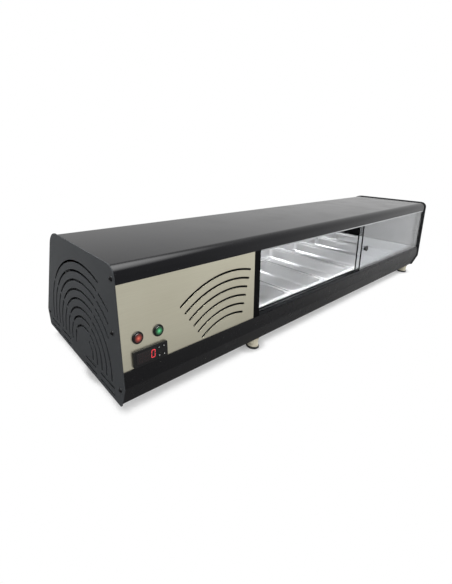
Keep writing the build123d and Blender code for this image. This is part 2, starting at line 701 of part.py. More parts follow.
def track(v0, height, floor_at_top):
    """An extruded track with two grooves for the panes."""
    rail = front_block(CAVITY_LEFT, CAVITY_RIGHT, v0, v0 + height, TRACK_DEPTH,
                       TRACK_DEPTH + TRACK_WIDTH)
    for pane in (0, 1):
        w0 = DOOR_INSET + pane * DOOR_PITCH - GROOVE_CLEARANCE
        w1 = w0 + GLASS + 2 * GROOVE_CLEARANCE
        low = v0 - height if floor_at_top else v0 + TRACK_FLOOR
        high = v0 + height - TRACK_FLOOR if floor_at_top else v0 + 2 * height
        rail -= front_block(CAVITY_LEFT, CAVITY_RIGHT, low, high, w0, w1)
    return rail


def bottom_track():
    """Bright lower track on the fascia's shelf."""
    return track(TRACK_START, TRACK_HEIGHT, False)


def top_track():
    """Bright upper track behind the cover's front edge."""
    return track(slope(COVER_FRONT_EDGE) - TOP_TRACK_DROP, TOP_TRACK_HEIGHT, True)


def door_span():
    """Left and right X of a door slid fully to the right."""
    right = CAVITY_RIGHT - DOOR_GAP
    return right - DOOR_WIDTH, right


def door_pane(number):
    """A glass door leaf; number 0 runs in the front groove and 1 in the rear one."""
    left, right = door_span()
    w0 = DOOR_INSET + number * DOOR_PITCH
    low = TRACK_START + TRACK_FLOOR + TOUCH_GAP
    groove = slope(COVER_FRONT_EDGE) - TOP_TRACK_DROP + TOP_TRACK_HEIGHT - TRACK_FLOOR
    high = groove - DOOR_HEADROOM
    return front_block(left, right, low, high, w0, w0 + GLASS)


def door_knob(number):
    """Low round pull, glued to the outer face of a door."""
    left, right = door_span()
    x = left + KNOB_FROM_EDGE if number == 0 else right - KNOB_FROM_EDGE
    face_w = DOOR_INSET + number * DOOR_PITCH
    v = slope((FASCIA_TOP + COVER_FRONT_EDGE) / 2)
    knob = front_post(x, v, KNOB_RADIUS, face_w - KNOB_HEIGHT, face_w)
    return fillet(outer_edge(knob), KNOB_ROUND)


def tray_left(number):
    """Left X of a tray's rim."""
    return CAVITY_LEFT + number * TRAY_PITCH + (TRAY_PITCH - TRAY_WIDTH) / 2


def tray(number):
    """Deep-drawn tray with a flat rim."""
    x = tray_left(number) + TRAY_WIDTH / 2
    y = TRAY_FRONT + TRAY_LENGTH / 2
    rim = extrude(RectangleRounded(TRAY_WIDTH, TRAY_LENGTH, TRAY_RIM_CORNER), amount=TRAY_RIM_SHEET)
    hollow = tray_body(TRAY_SHEET, 2 * TRAY_RIM_SHEET)
    return Location((x, y, WELL_TOP)) * (rim + tray_body(0.0, 0.0) - hollow)


def tray_body(wall, above):
    """Solid body of a tray below its rim, made smaller by the wall and carried on above it."""
    width = TRAY_WIDTH - 2 * TRAY_RIM - 2 * wall
    length = TRAY_LENGTH - 2 * TRAY_RIM - 2 * wall
    top = RectangleRounded(width, length, TRAY_CORNER - wall)
    body = extrude(top, amount=-(TRAY_DEPTH - wall), taper=TRAY_TAPER)
    body = fillet(body.faces().sort_by(Axis.Z)[0].edges(), TRAY_FLOOR_RADIUS - wall)
    if above:
        body += extrude(top, amount=above)
    return body


def well_span():
    """Inner opening of the cold well as x0, x1, y0, y1."""
    inset = TRAY_RIM - WELL_CLEARANCE
    return (tray_left(0) + inset, tray_left(TRAY_COUNT - 1) + TRAY_WIDTH - inset,
            TRAY_FRONT + inset, TRAY_FRONT + TRAY_LENGTH - inset)


def cold_well():
    """Stainless well with a flange on which the tray rims rest."""
    x0, x1, y0, y1 = well_span()
    floor_z = WELL_TOP - WELL_DEPTH
    flange = block(CAVITY_LEFT + RUNNING_GAP, CAVITY_RIGHT - RUNNING_GAP,
                   TRACK_BACK + RUNNING_GAP, TRAY_FRONT + TRAY_LENGTH + FLANGE_BACK,
                   WELL_TOP - WELL_SHEET, WELL_TOP)
    tub = block(x0 - WELL_SHEET, x1 + WELL_SHEET, y0 - WELL_SHEET, y1 + WELL_SHEET,
                floor_z - WELL_SHEET, WELL_TOP)
    return flange + tub - block(x0, x1, y0, y1, floor_z, WELL_TOP + WELL_SHEET)


def well_insulation():
    """Foam shell under and around the cold well."""
    x0, x1, y0, y1 = well_span()
    gap = WELL_SHEET + RUNNING_GAP
    outer = block(x0 - gap - FOAM_END, x1 + gap + FOAM_END, y0 - gap - FOAM_WALL,
                  y1 + gap + FOAM_WALL, PAN_FLOOR, WELL_TOP - WELL_SHEET)
    outer -= block(x0 - FOAM_NOTCH, x1 + FOAM_NOTCH, -FOAM_NOTCH, TRACK_BACK + 2 * RUNNING_GAP,
                   WELL_TOP - FOAM_NOTCH, WELL_TOP)
    return outer - block(x0 - gap, x1 + gap, y0 - gap, y1 + gap,
                         WELL_TOP - WELL_DEPTH - WELL_SHEET - COIL_ROOM, WELL_TOP)


def evaporator_coil():
    """Flat serpentine of copper tube under the well's floor."""
    x0, x1, y0, y1 = well_span()
    pitch = (y1 - y0 - 2 * COIL_INSET) / COIL_TURNS
    z = WELL_TOP - WELL_DEPTH - WELL_SHEET - COIL_RADIUS - PIPE_FIT
    start, end = x0 + COIL_END_INSET, x1 - COIL_END_INSET
    path = []
    for row in range(COIL_TURNS + 1):
        y = y0 + COIL_INSET + row * pitch
        a, b, side = (start, end, 1) if row % 2 == 0 else (end, start, -1)
        path.append(Line((a, y, z), (b, y, z)))
        if row < COIL_TURNS:
            path.append(ThreePointArc((b, y, z), (b + side * pitch / 2, y + pitch / 2, z),
                                      (b, y + pitch, z)))
    section = Plane(origin=(start, y0 + COIL_INSET, z), z_dir=(1, 0, 0)) * Circle(COIL_RADIUS)
    return sweep(section, path=Wire(path))


def tray_crossbars():
    """Bars across the well under the rims of neighbouring trays."""
    _, _, y0, y1 = well_span()
    bars = []
    for number in range(1, TRAY_COUNT):
        x = CAVITY_LEFT + number * TRAY_PITCH
        bars.append(block(x - CROSSBAR_WIDTH / 2, x + CROSSBAR_WIDTH / 2, y0, y1,
                          WELL_TOP - CROSSBAR_HEIGHT, WELL_TOP))
    return bars


def led_housing():
    """Lamp channel under the ceiling, behind the top track."""
    bottom = CEILING_HEIGHT - LED_HEIGHT
    face = rectangle(LED_SET_BACK, LED_SET_BACK + LED_WIDTH, bottom, CEILING_HEIGHT)
    face -= rectangle(LED_SET_BACK + LED_SHEET, LED_SET_BACK + LED_WIDTH - LED_SHEET,
                      bottom - LED_SHEET, CEILING_HEIGHT - LED_SHEET)
    return along_x(face, CAVITY_LEFT + LED_END_GAP, CAVITY_RIGHT - LED_END_GAP)


def led_diffuser():
    """Opal cover snapped into the lamp channel."""
    bottom = CEILING_HEIGHT - LED_HEIGHT
    inset = LED_SHEET + SNAP_FIT
    face = rectangle(LED_SET_BACK + inset, LED_SET_BACK + LED_WIDTH - inset, bottom,
                     bottom + DIFFUSER_SHEET)
    return along_x(face, CAVITY_LEFT + DIFFUSER_END_GAP, CAVITY_RIGHT - DIFFUSER_END_GAP)


def bolt_places():
    """Places of the compressor's four bolts about its axis."""
    across, along = COMPRESSOR_BOLTS
    return [(x, y) for x in (-across, across) for y in (-along, along)]


def compressor():
    """Hermetic compressor pot with its mounting plate and terminal cover."""
    plate = Box(*COMPRESSOR_PLATE, align=UPWARDS)
    for x, y in bolt_places():
        plate -= Location((x, y, 0)) * Cylinder(BOLT_HOLE, CLEAR_THROUGH)
    pot = Cylinder(COMPRESSOR_RADIUS, COMPRESSOR_HEIGHT, align=UPWARDS)
    pot = fillet(pot.edges().filter_by(GeomType.CIRCLE).group_by(Axis.Z)[-1], COMPRESSOR_CROWN)
    pot = fillet(pot.edges().filter_by(GeomType.CIRCLE).group_by(Axis.Z)[0], COMPRESSOR_BASE_ROUND)
    pot += Location((0, 0, SEAM_HEIGHT)) * Cylinder(COMPRESSOR_RADIUS + SEAM_RIM, SEAM_THICKNESS)
    sheet = COMPRESSOR_PLATE[2]
    body = plate + Location((0, 0, sheet)) * pot
    body += Location((0, -COMPRESSOR_RADIUS - TERMINALS_RISE, TERMINALS_HEIGHT)) * Box(*TERMINALS)
    return Location((COMPRESSOR_X, COMPRESSOR_Y, COMPRESSOR_BASE)) * body


def compressor_grommets():
    """Rubber mounts between the pan and the compressor's plate."""
    ring = Cylinder(GROMMET_RADIUS, GROMMET_HEIGHT, align=UPWARDS)
    ring -= Cylinder(GROMMET_BORE, 3 * GROMMET_HEIGHT)
    return [Location((COMPRESSOR_X + x, COMPRESSOR_Y + y, PAN_FLOOR)) * ring
            for x, y in bolt_places()]


def condenser():
    """Finned condenser block with its return bends, standing behind the end plate's vents."""
    thick, width, height = CONDENSER
    x0, y0, z0 = CONDENSER_X, CONDENSER_Y, PAN_FLOOR
    core = block(x0, x0 + thick, y0, y0 + width, z0, z0 + height)
    for number in range(1, int(width / FIN_PITCH) - 1):
        y = y0 + number * FIN_PITCH
        core -= block(x0 - FIN_DEPTH, x0 + FIN_DEPTH, y, y + FIN_GAP, z0 + FIN_MARGIN,
                      z0 + height - FIN_MARGIN)
    reach = BEND_RADIUS + 2 * BEND_TUBE
    for number in range(BEND_COUNT):
        z = z0 + BEND_FIRST + number * BEND_PITCH
        for wall, outer in ((y0, y0 - reach), (y0 + width, y0 + width + reach)):
            ring = Location((x0 + thick / 2, wall, z), (0, 90, 0)) * Torus(BEND_RADIUS, BEND_TUBE)
            core += ring & block(x0, x0 + thick, min(wall, outer), max(wall, outer),
                                 z - reach, z + reach)
    return core


def fan_centre():
    """Centre of the fan's front face, on its spin axis."""
    return (CONDENSER_X + CONDENSER[0] + RUNNING_GAP, CONDENSER_Y + CONDENSER[1] / 2,
            PAN_FLOOR + CONDENSER[2] / 2)


def fan_shroud():
    """Square fan frame with the motor seat held by four arms."""
    frame = Box(FAN_SIZE, FAN_SIZE, FAN_THICKNESS, align=UPWARDS)
    frame = fillet(frame.edges().filter_by(Axis.Z), FAN_CORNER)
    frame -= Cylinder(FAN_BORE, 3 * FAN_THICKNESS)
    arm, sheet = FAN_ARM
    reach = 2 * FAN_BORE + sheet
    seat = Box(reach, arm, sheet, align=UPWARDS) + Box(arm, reach, sheet, align=UPWARDS)
    seat += Cylinder(FAN_HUB, sheet, align=UPWARDS)
    frame += Location((0, 0, FAN_THICKNESS - sheet)) * seat
    drop = (CONDENSER[2] - FAN_SIZE) / 2
    for side in (-1, 1):
        spot = Location(((FAN_SIZE + drop - LUG_ROOT) / 2, side * FAN_LUG_PLACE, FAN_THICKNESS / 2))
        frame += spot * Box(drop + LUG_ROOT, *FAN_LUG)
    return Location(fan_centre(), (0, 90, 0)) * frame


def fan_motor():
    """Round motor can on the fan's arms, with its shaft."""
    can = Cylinder(MOTOR_RADIUS, MOTOR_LENGTH, align=UPWARDS)
    can = Location((0, 0, FAN_THICKNESS - FAN_ARM[1] - MOTOR_LENGTH)) * can
    shaft = Location((0, 0, SHAFT_START)) * Cylinder(SHAFT_RADIUS, SHAFT_LENGTH, align=UPWARDS)
    return Location(fan_centre(), (0, 90, 0)) * (can + shaft)


def fan_blade():
    """Hub and pitched blades on the motor's shaft."""
    hub = Location((0, 0, HUB_START)) * Cylinder(FAN_HUB, HUB_DEPTH, align=UPWARDS)
    hollow = Cylinder(FAN_HUB - HUB_WALL, HUB_DEPTH, align=UPWARDS)
    hub -= Location((0, 0, HUB_START + HUB_FLOOR)) * hollow
    hub -= Cylinder(SHAFT_RADIUS + SHAFT_FIT, 3 * FAN_THICKNESS)
    tip = FAN_BORE - BLADE_GAP
    leaf = Location(((FAN_HUB + tip) / 2, 0, HUB_START + HUB_DEPTH / 2), (BLADE_PITCH, 0, 0)) * Box(
        tip - FAN_HUB + BLADE_ROOT, BLADE_WIDTH, BLADE_SHEET)
    for number in range(FAN_BLADES):
        hub += Location((0, 0, 0), (0, 0, 360 / FAN_BLADES * number)) * leaf
    return Location(fan_centre(), (0, 90, 0)) * hub


def pipe(points, radius, bend):
    """A round tube through corner points with equal bends."""
    path = FilletPolyline(*points, radius=bend)
    start = path @ 0
    section = Plane(origin=start, z_dir=path % 0) * Circle(radius)
    return sweep(section, path=path)


def filter_drier():
    """Copper drier between the condenser and the capillary tube."""
    body = Cylinder(DRIER_RADIUS, DRIER_LENGTH)
    middle = (DRIER_LENGTH + DRIER_CONE) / 2
    body += Location((0, 0, middle)) * Cone(DRIER_RADIUS, DRIER_NECK, DRIER_CONE)
    body += Location((0, 0, -middle)) * Cone(DRIER_NECK, DRIER_RADIUS, DRIER_CONE)
    x, from_back = DRIER_PLACE
    return Location((x, PLATE_DEPTH - from_back, PAN_FLOOR + DRIER_RADIUS), (0, 90, 0)) * body


def discharge_pipe():
    """Hot gas pipe from the compressor's top to the condenser."""
    top = COMPRESSOR_BASE + COMPRESSOR_PLATE[2] + COMPRESSOR_HEIGHT
    run = PAN_FLOOR + CONDENSER[2] - HOT_PIPE_DROP
    start_y = COMPRESSOR_Y + HOT_PIPE_INSET
    wall_y = CONDENSER_Y + CONDENSER[1]
    turn_y = wall_y + HOT_PIPE_TURN
    end_x = CONDENSER_X + CONDENSER[0] / 2
    return pipe(((COMPRESSOR_X, start_y, top + PIPE_FIT), (COMPRESSOR_X, start_y, run),
                 (COMPRESSOR_X, turn_y, run), (end_x, turn_y, run),
                 (end_x, wall_y + PIPE_FIT, run)), HOT_PIPE_RADIUS, PIPE_BEND)


def suction_pipe():
    """Cold return pipe from the bulkhead port to the compressor's side."""
    z = COMPRESSOR_BASE + COLD_PIPE_HEIGHT
    port_z = FOOT_HEIGHT + PORT_HEIGHT
    x = PANEL_RIGHT - COLD_PIPE_RUN
    return pipe(((PANEL_RIGHT + COLD_PIPE_REACH, PORT_Y, port_z), (x, PORT_Y, port_z),
                 (x, PORT_Y, z), (x, COMPRESSOR_Y, z),
                 (COMPRESSOR_X + COMPRESSOR_RADIUS + PIPE_FIT, COMPRESSOR_Y, z)),
                COLD_PIPE_RADIUS, PIPE_BEND)


def electric_box():
    """Terminal box for the mains, lamp and controller wiring."""
    width, depth, height = WIRING_BOX
    start = WIRING_BOX_PLACE
    box = block(start, start + width, start, start + depth, PAN_FLOOR, PAN_FLOOR + height)
    return fillet(box.edges().filter_by(Axis.Z), WIRING_BOX_ROUND)


def gland_plane(rise):
    """Plane on the customer's side of the slope at the cable gland, outwards by a rise."""
    lean = radians(BACK_LEAN)
    y = PLATE_DEPTH - (GLAND_HEIGHT - BACK_BULGE_HEIGHT) * tan(lean)
    return Plane(origin=(GLAND_X, y, FOOT_HEIGHT + GLAND_HEIGHT), x_dir=(1, 0, 0),
                 z_dir=(0, cos(lean), sin(lean))).offset(rise)


def cable_gland():
    """Gland in the base of the rear fascia, where the mains cord enters."""
    face = gland_plane(-SHELL_INSET)
    collar_radius, collar_rise = GLAND_COLLAR
    nose_radius, nose_depth = GLAND_NOSE
    gland = extrude(face * Circle(collar_radius), amount=collar_rise)
    gland += extrude(face * Circle(nose_radius), amount=-nose_depth)
    return gland - extrude(face * Circle(GLAND_BORE), amount=CLEAR_THROUGH, both=True)


def gland_bore():
    """Cut for the gland through the rear fascia."""
    bore = gland_plane(-SHELL_INSET) * Circle(GLAND_NOSE[0] + GLAND_CLEARANCE)
    return extrude(bore, amount=CLEAR_THROUGH, both=True)


def temperature_probe():
    """Sensor bulb clipped under the well's floor, at the machine end."""
    x0, _, y0, y1 = well_span()
    under = WELL_TOP - WELL_DEPTH - WELL_SHEET - PROBE_RADIUS - TOUCH_GAP
    spot = Location((x0 + PROBE_INSET, (y0 + y1) / 2, under), (90, 0, 0))
    return spot * fillet(Cylinder(PROBE_RADIUS, PROBE_LENGTH).edges(), PROBE_ROUND)


def foot_seat(y):
    """Height above the plates' underside of the sheet that a foot screws up against."""
    under_fascia = y < FASCIA_RETURN or y > PLATE_DEPTH - REAR_RETURN
    return SHELL_INSET if under_fascia else PANEL_INSET


def stud_bores():
    """Bores for the studs of the feet, through the pan and the fascias' returns."""
    return [Location((x, y, FOOT_HEIGHT)) * Cylinder(STUD_RADIUS + TOUCH_GAP, 2 * CLEAR_THROUGH)
            for x, y in FOOT_PLACES]


def feet():
    """Turned feet screwed up against the sheet above them."""
    legs = []
    for x, y in FOOT_PLACES:
        top = FOOT_HEIGHT + foot_seat(y)
        leg = Cylinder(FOOT_RADIUS - LEG_INSET, top - PAD_HEIGHT, align=UPWARDS)
        stud = Cylinder(STUD_RADIUS, PAN_FLOOR - TOUCH_GAP - top, align=UPWARDS)
        legs.append(Location((x, y, PAD_HEIGHT)) * leg + Location((x, y, top)) * stud)
    return legs


def foot_pads():
    """Rubber pads under the feet."""
    pad = Cylinder(FOOT_RADIUS, PAD_HEIGHT, align=UPWARDS)
    pad = fillet(pad.edges().group_by(Axis.Z)[-1], PAD_ROUND)
    return [Location((x, y, 0)) * pad for x, y in FOOT_PLACES]


def pieces():
    """Every named piece of the case, in the building frame."""
    parts = {
        "end_plate_left": end_plate_left(), "end_plate_right": end_plate_right(),
        "end_plate_screws": end_plate_screws(), "top_cover": top_cover(),
        "lower_fascia": lower_fascia(), "rear_fascia": rear_fascia(),
        "base_pan": base_pan(), "control_panel": control_panel(), "mullion": mullion(),
        "bulkhead": bulkhead(), "right_wall": right_wall(), "ceiling_panel": ceiling_panel(),
        "machine_rear_panel": machine_rear_panel(), "customer_glass": customer_glass(),
        "glass_seal": glass_seal(), "bottom_track": bottom_track(), "top_track": top_track(),
        "left_door_pane": door_pane(0), "right_door_pane": door_pane(1),
        "left_door_knob": door_knob(0), "right_door_knob": door_knob(1),
        "cold_well": cold_well(), "well_insulation": well_insulation(),
        "evaporator_coil": evaporator_coil(), "tray_crossbars": tray_crossbars(),
        "led_housing": led_housing(), "led_diffuser": led_diffuser(),
        "compressor": compressor(), "compressor_grommets": compressor_grommets(),
        "condenser": condenser(), "fan_shroud": fan_shroud(), "fan_motor": fan_motor(),
        "fan_blade": fan_blade(), "filter_drier": filter_drier(),
        "discharge_pipe": discharge_pipe(), "suction_pipe": suction_pipe(),
        "electric_box": electric_box(), "cable_gland": cable_gland(),
        "temperature_probe": temperature_probe(), "controller_housing": controller_housing(),
        "controller_window": controller_window(), "feet": feet(), "foot_pads": foot_pads(),
    }
    for colour in BUTTON_XS:
        parts[f"{colour}_button_bezel"] = button_bezel(colour)
        parts[f"{colour}_button_lens"] = button_lens(colour)
        parts[f"{colour}_button_nut"] = button_nut(colour)
    for name in key_places():
        parts[f"controller_key_{name}"] = controller_key(name)
    for number in range(TRAY_COUNT):
        parts[f"tray_{number + 1}"] = tray(number)
    return parts


def main():
    """Write one STEP file for each piece, with the origin under the middle of the case."""
    os.makedirs("parts", exist_ok=True)
    footprint = end_plate_right().bounding_box()
    centre = Location((-LENGTH / 2, -(footprint.min.Y + footprint.max.Y) / 2, 0))
    for name, shape in pieces().items():
        solids = shape if isinstance(shape, list) else [shape]
        moved = [solid for item in solids for solid in (centre * item).solids()]
        export_step(moved[0] if len(moved) == 1 else Compound(children=moved), f"parts/{name}.step")
        print(name, len(moved))


main()
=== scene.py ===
"""Looks of the refrigerated tapas display case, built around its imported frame.

Lengths are in metres in the frame's own axes: +X along the case, the operator's side at -Y, and
the table at z = 0.  Sizes written in millimetres are multiplied by MM.
"""

import json
import logging
from dataclasses import dataclass, replace
from enum import Enum
from functools import cache, partial
from math import copysign, cos, pi, radians, sin, tan, tau
from typing import Iterable, Sequence

import bmesh
import bpy
from bmesh.types import BMEdge, BMesh, BMVert
from bpy.types import ID, Material, Mesh, Node, NodeSocket, NodeTree, Object
from mathutils import Matrix, Vector

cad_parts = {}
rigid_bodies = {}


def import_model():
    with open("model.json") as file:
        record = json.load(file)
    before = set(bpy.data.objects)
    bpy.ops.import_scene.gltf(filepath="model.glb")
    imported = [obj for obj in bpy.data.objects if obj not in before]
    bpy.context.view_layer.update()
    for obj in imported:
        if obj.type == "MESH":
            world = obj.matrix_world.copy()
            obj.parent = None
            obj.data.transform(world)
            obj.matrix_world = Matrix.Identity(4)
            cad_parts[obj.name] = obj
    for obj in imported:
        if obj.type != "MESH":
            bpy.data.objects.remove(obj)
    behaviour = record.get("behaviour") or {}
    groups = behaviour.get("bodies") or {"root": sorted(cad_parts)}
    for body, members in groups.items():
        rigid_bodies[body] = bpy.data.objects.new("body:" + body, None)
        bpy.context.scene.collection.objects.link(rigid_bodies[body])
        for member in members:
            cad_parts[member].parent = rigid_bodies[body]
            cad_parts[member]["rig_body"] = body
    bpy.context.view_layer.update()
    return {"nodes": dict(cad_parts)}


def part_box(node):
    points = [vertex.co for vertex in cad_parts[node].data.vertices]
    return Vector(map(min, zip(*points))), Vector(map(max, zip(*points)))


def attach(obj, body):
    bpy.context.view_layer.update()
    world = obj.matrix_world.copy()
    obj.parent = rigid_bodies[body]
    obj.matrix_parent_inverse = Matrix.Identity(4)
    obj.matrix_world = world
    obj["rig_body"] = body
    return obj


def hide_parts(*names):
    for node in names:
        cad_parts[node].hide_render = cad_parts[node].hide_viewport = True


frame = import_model()

LOG = logging.getLogger("tapas_case")
MM = 0.001
FRONT_LEAN = radians(7.6)      # operator's side, from upright
BACK_LEAN = radians(19.8)      # customer's side, from upright
OUTWARDS = Vector((0, -cos(FRONT_LEAN), sin(FRONT_LEAN)))      # square to the operator's side
CREASE = radians(28)           # folds sharper than this stay sharp in the shading
SHARP = radians(40)            # and sharper than this have their edges eased
FLAT = radians(0.3)            # faces that meet at less than this are one
WELD = 1e-6                    # vertices closer than this are one
LARGER = {"operation": "MAXIMUM"}                # settings of a node that gives the larger input,
PRODUCT = {"operation": "MULTIPLY"}              # of one that multiplies
SOFT = {"interpolation_type": "SMOOTHSTEP"}      # and of one whose change begins and ends slowly
Source = Node | NodeSocket     # what feeds an input: a socket, or a node's first output
Box = tuple[Vector, Vector]    # its lowest and highest corner


def linear(code: str) -> tuple[float, float, float, float]:
    """Turns an sRGB hex code into a linear colour.

    Args:
        code: six hex digits, with or without a leading hash mark.

    Returns:
        Linear red, green, blue and an alpha of 1.
    """
    digits = code.lstrip("#")
    parts = [int(digits[i:i + 2], 16) / 255 for i in (0, 2, 4)]
    red, green, blue = (p / 12.92 if p <= 0.04045 else ((p + 0.055) / 1.055) ** 2.4 for p in parts)
    return red, green, blue, 1.0


def socket_of(source: Source) -> NodeSocket:
    """Gives a socket as it is, and a node's first output."""
    return source.outputs[0] if isinstance(source, Node) else source


def add_node(tree: NodeTree, kind: str, settings: dict | None = None,
             links: dict | None = None) -> Node:
    """Adds a node with its settings and links.

    Args:
        tree: the node tree that gets the node.
        kind: the node's type name.
        settings: values by input name or number, or by the node's own property name.
        links: what feeds each input, by the input's name or number.

    Returns:
        The new node.
    """
    node = tree.nodes.new(kind)
    for key, value in (settings or {}).items():
        if not isinstance(key, int) and hasattr(node, key):
            setattr(node, key, value)
        else:
            node.inputs[key].default_value = value
    for key, source in (links or {}).items():
        tree.links.new(socket_of(source), node.inputs[key])
    return node


def empty_tree(owner: Material | bpy.types.World) -> NodeTree:
    """Turns on a material's or a world's nodes.

    Args:
        owner: the material or world.

    Returns:
        Its node tree, cleared.
    """
    owner.use_nodes = True
    owner.node_tree.nodes.clear()
    return owner.node_tree


def linked(name: str, data: ID) -> Object:
    """Adds an object to the scene.

    Args:
        name: the object's name.
        data: its mesh, camera or lamp.

    Returns:
        The object.
    """
    thing = bpy.data.objects.new(name, data)
    bpy.context.scene.collection.objects.link(thing)
    return thing


class Surface:
    """A material in the making, with its node tree and its surface shader."""

    def __init__(self, finish: "Finish") -> None:
        """Starts the material with the numbers that are the same all over it.

        Args:
            finish: the finish that it is made from.
        """
        self.material = bpy.data.materials.new(finish.name)
        self.tree = empty_tree(self.material)
        self.add = partial(add_node, self.tree)
        self.shader = self.add("ShaderNodeBsdfPrincipled", {
            "Base Color": linear(finish.colour), "Roughness": finish.roughness,
            "Metallic": finish.metallic, "IOR": finish.ior, "Specular IOR Level": finish.specular,
        })
        self.add("ShaderNodeOutputMaterial", links={"Surface": self.shader})

    def feed(self, name: str, source: Source) -> None:
        """Feeds one of the shader's inputs."""
        self.tree.links.new(socket_of(source), self.shader.inputs[name])

    def space(self, stretch: Sequence[float] = (1, 1, 1),
              centre: Sequence[float] = (0, 0, 0)) -> Node:
        """Gives the object's own coordinates, stretched about a centre.

        Args:
            stretch: scale along each axis.
            centre: the point that becomes the origin.

        Returns:
            The node with the coordinates.
        """
        place = self.add("ShaderNodeTexCoord")
        return self.add("ShaderNodeMapping", {
            "Location": [-c * s for c, s in zip(centre, stretch)], "Scale": list(stretch),
        }, {"Vector": place.outputs["Object"]})

    def blend(self, factor: Source, low: str, high: str, name: str = "Base Color") -> None:
        """Feeds a colour of the shader with a blend of two.

        Args:
            factor: what chooses between them, from 0 to 1.
            low: hex colour at 0.
            high: hex colour at 1.
            name: the input that is fed.
        """
        mix = self.add("ShaderNodeMix", {"data_type": "RGBA", 6: linear(low), 7: linear(high)},
                       {0: factor})
        self.feed(name, mix.outputs[2])

    def dull(self, factor: Source, low: float, high: float) -> None:
        """Feeds the roughness with a pattern, spread over a range.

        Args:
            factor: the pattern, mostly from 0.3 to 0.7 as a noise gives it.
            low: the roughness at 0.3.
            high: the roughness at 0.7.
        """
        self.feed("Roughness", self.add("ShaderNodeMapRange", {
            "From Min": 0.3, "From Max": 0.7, "To Min": low, "To Max": high,
        }, {"Value": factor}))

    def bump(self, height: Source, depth: float, strength: float) -> None:
        """Adds relief to the surface.

        Args:
            height: the relief, from 0 to 1.
            depth: its real height in metres.
            strength: how much of it shows, from 0 to 1.
        """
        self.feed("Normal", self.add("ShaderNodeBump", {"Strength": strength, "Distance": depth},
                                     {"Height": height}))


class Grain(Enum):
    """Which way a brushed or drawn surface runs."""

    ALONG = (0.012, 1.0, 1.0)      # along the case
    ACROSS = (1.0, 0.012, 1.0)     # from front to back
    CLOUDY = (1.0, 1.0, 1.0)       # no direction


@dataclass(frozen=True)
class Finish:
    """A plain even surface; the finishes below add what each real material shows."""

    name: str
    slot: str
    colour: str
    roughness: float
    metallic: float = 0.0
    ior: float = 1.5
    specular: float = 0.5

    @cache
    def build(self) -> Material:
        """Builds the material.

        Returns:
            The finished material, the same one each time.
        """
        surface = Surface(self)
        self.pattern(surface)
        return surface.material

    def pattern(self, surface: Surface) -> None:
        """Adds the surface's detail; the plain surface has none."""


@dataclass(frozen=True)
class Grained(Finish):
    """A fine grain over slow clouds of tone; what follows has each real surface's own numbers."""

    tone: str = "#3a3a3c"          # the second colour
    grain: float = 0.7 * MM        # size of the fine pattern
    run: Grain = Grain.CLOUDY
    grain_noise: tuple[float, float] = (2.0, 0.6)     # detail and roughness of its noise
    grain_share: float = 0.0       # how much of the tone it gives, and the rest the clouds
    depth: float = 0.04 * MM
    relief: float = 0.4
    cloud: float = 18 * MM
    cloud_noise: tuple[float, float] = (2.0, 0.5)
    unevenness: float = 0.06       # of the roughness, which follows the grain
    rubbed: bool = False           # or follows the clouds

    def pattern(self, surface: Surface) -> None:
        """Adds the grain, the clouds and what they do to colour, gloss and relief.

        Args:
            surface: the material that gets them.
        """
        fine, slow = (surface.add("ShaderNodeTexNoise", {
            "Scale": 1 / size, "Detail": detail, "Roughness": roughness,
        }, {"Vector": surface.space(stretch)}) for size, (detail, roughness), stretch in (
            (self.grain, self.grain_noise, self.run.value),
            (self.cloud, self.cloud_noise, Grain.CLOUDY.value)))
        tone = slow
        if self.grain_share:
            rest = surface.add("ShaderNodeMath", PRODUCT | {1: 1 - self.grain_share}, {0: slow})
            tone = surface.add("ShaderNodeMath", {"operation": "MULTIPLY_ADD", 1: self.grain_share},
                               {0: fine, 2: rest})
        surface.blend(tone, self.colour, self.tone)
        surface.dull(slow if self.rubbed else fine, self.roughness - self.unevenness,
                     self.roughness + self.unevenness)
        surface.bump(fine, self.depth, self.relief)


@dataclass(frozen=True)
class Moulded(Grained):
    """Moulded plastic, rubber, foam or ink: a fine even grain, as coarse as it needs to show."""


@dataclass(frozen=True)
class SprayedPaint(Grained):
    """Baked paint or powder coat: the dimples of orange peel, and patches rubbed duller."""

    grain_noise: tuple[float, float] = (1.0, 0.4)
    depth: float = 0.03 * MM
    relief: float = 0.25
    cloud: float = 90 * MM
    cloud_noise: tuple[float, float] = (3.0, 0.55)
    unevenness: float = 0.05
    rubbed: bool = True


@dataclass(frozen=True)
class BrushedMetal(Grained):
    """Brushed, drawn or pressed metal: streaks along the grain over a slow change of tone."""

    metallic: float = 1.0
    grain: float = 0.9 * MM        # real brush lines are 0.1 mm apart, too fine to show here
    run: Grain = Grain.ALONG
    grain_noise: tuple[float, float] = (3.0, 0.6)
    grain_share: float = 0.55
    depth: float = 0.02 * MM
    relief: float = 0.12
    cloud: float = 120 * MM


@dataclass(frozen=True)
class ZincCoated(Finish):
    """Hot-dip galvanised sheet: flat crystals of zinc, each a slightly different grey."""

    metallic: float = 1.0
    light: str = "#aab0b3"
    spangle: float = 9 * MM
    unevenness: float = 0.08

    def pattern(self, surface: Surface) -> None:
        """Adds the crystals, in tone and in gloss.

        Args:
            surface: the material that gets them.
        """
        crystals = surface.add("ShaderNodeTexVoronoi", {"Scale": 1 / self.spangle},
                               {"Vector": surface.space()})
        tone = surface.add("ShaderNodeSeparateColor", links={"Color": crystals.outputs["Color"]})
        surface.blend(tone.outputs["Red"], self.colour, self.light)
        surface.dull(tone.outputs["Green"], self.roughness - self.unevenness,
                     self.roughness + self.unevenness)


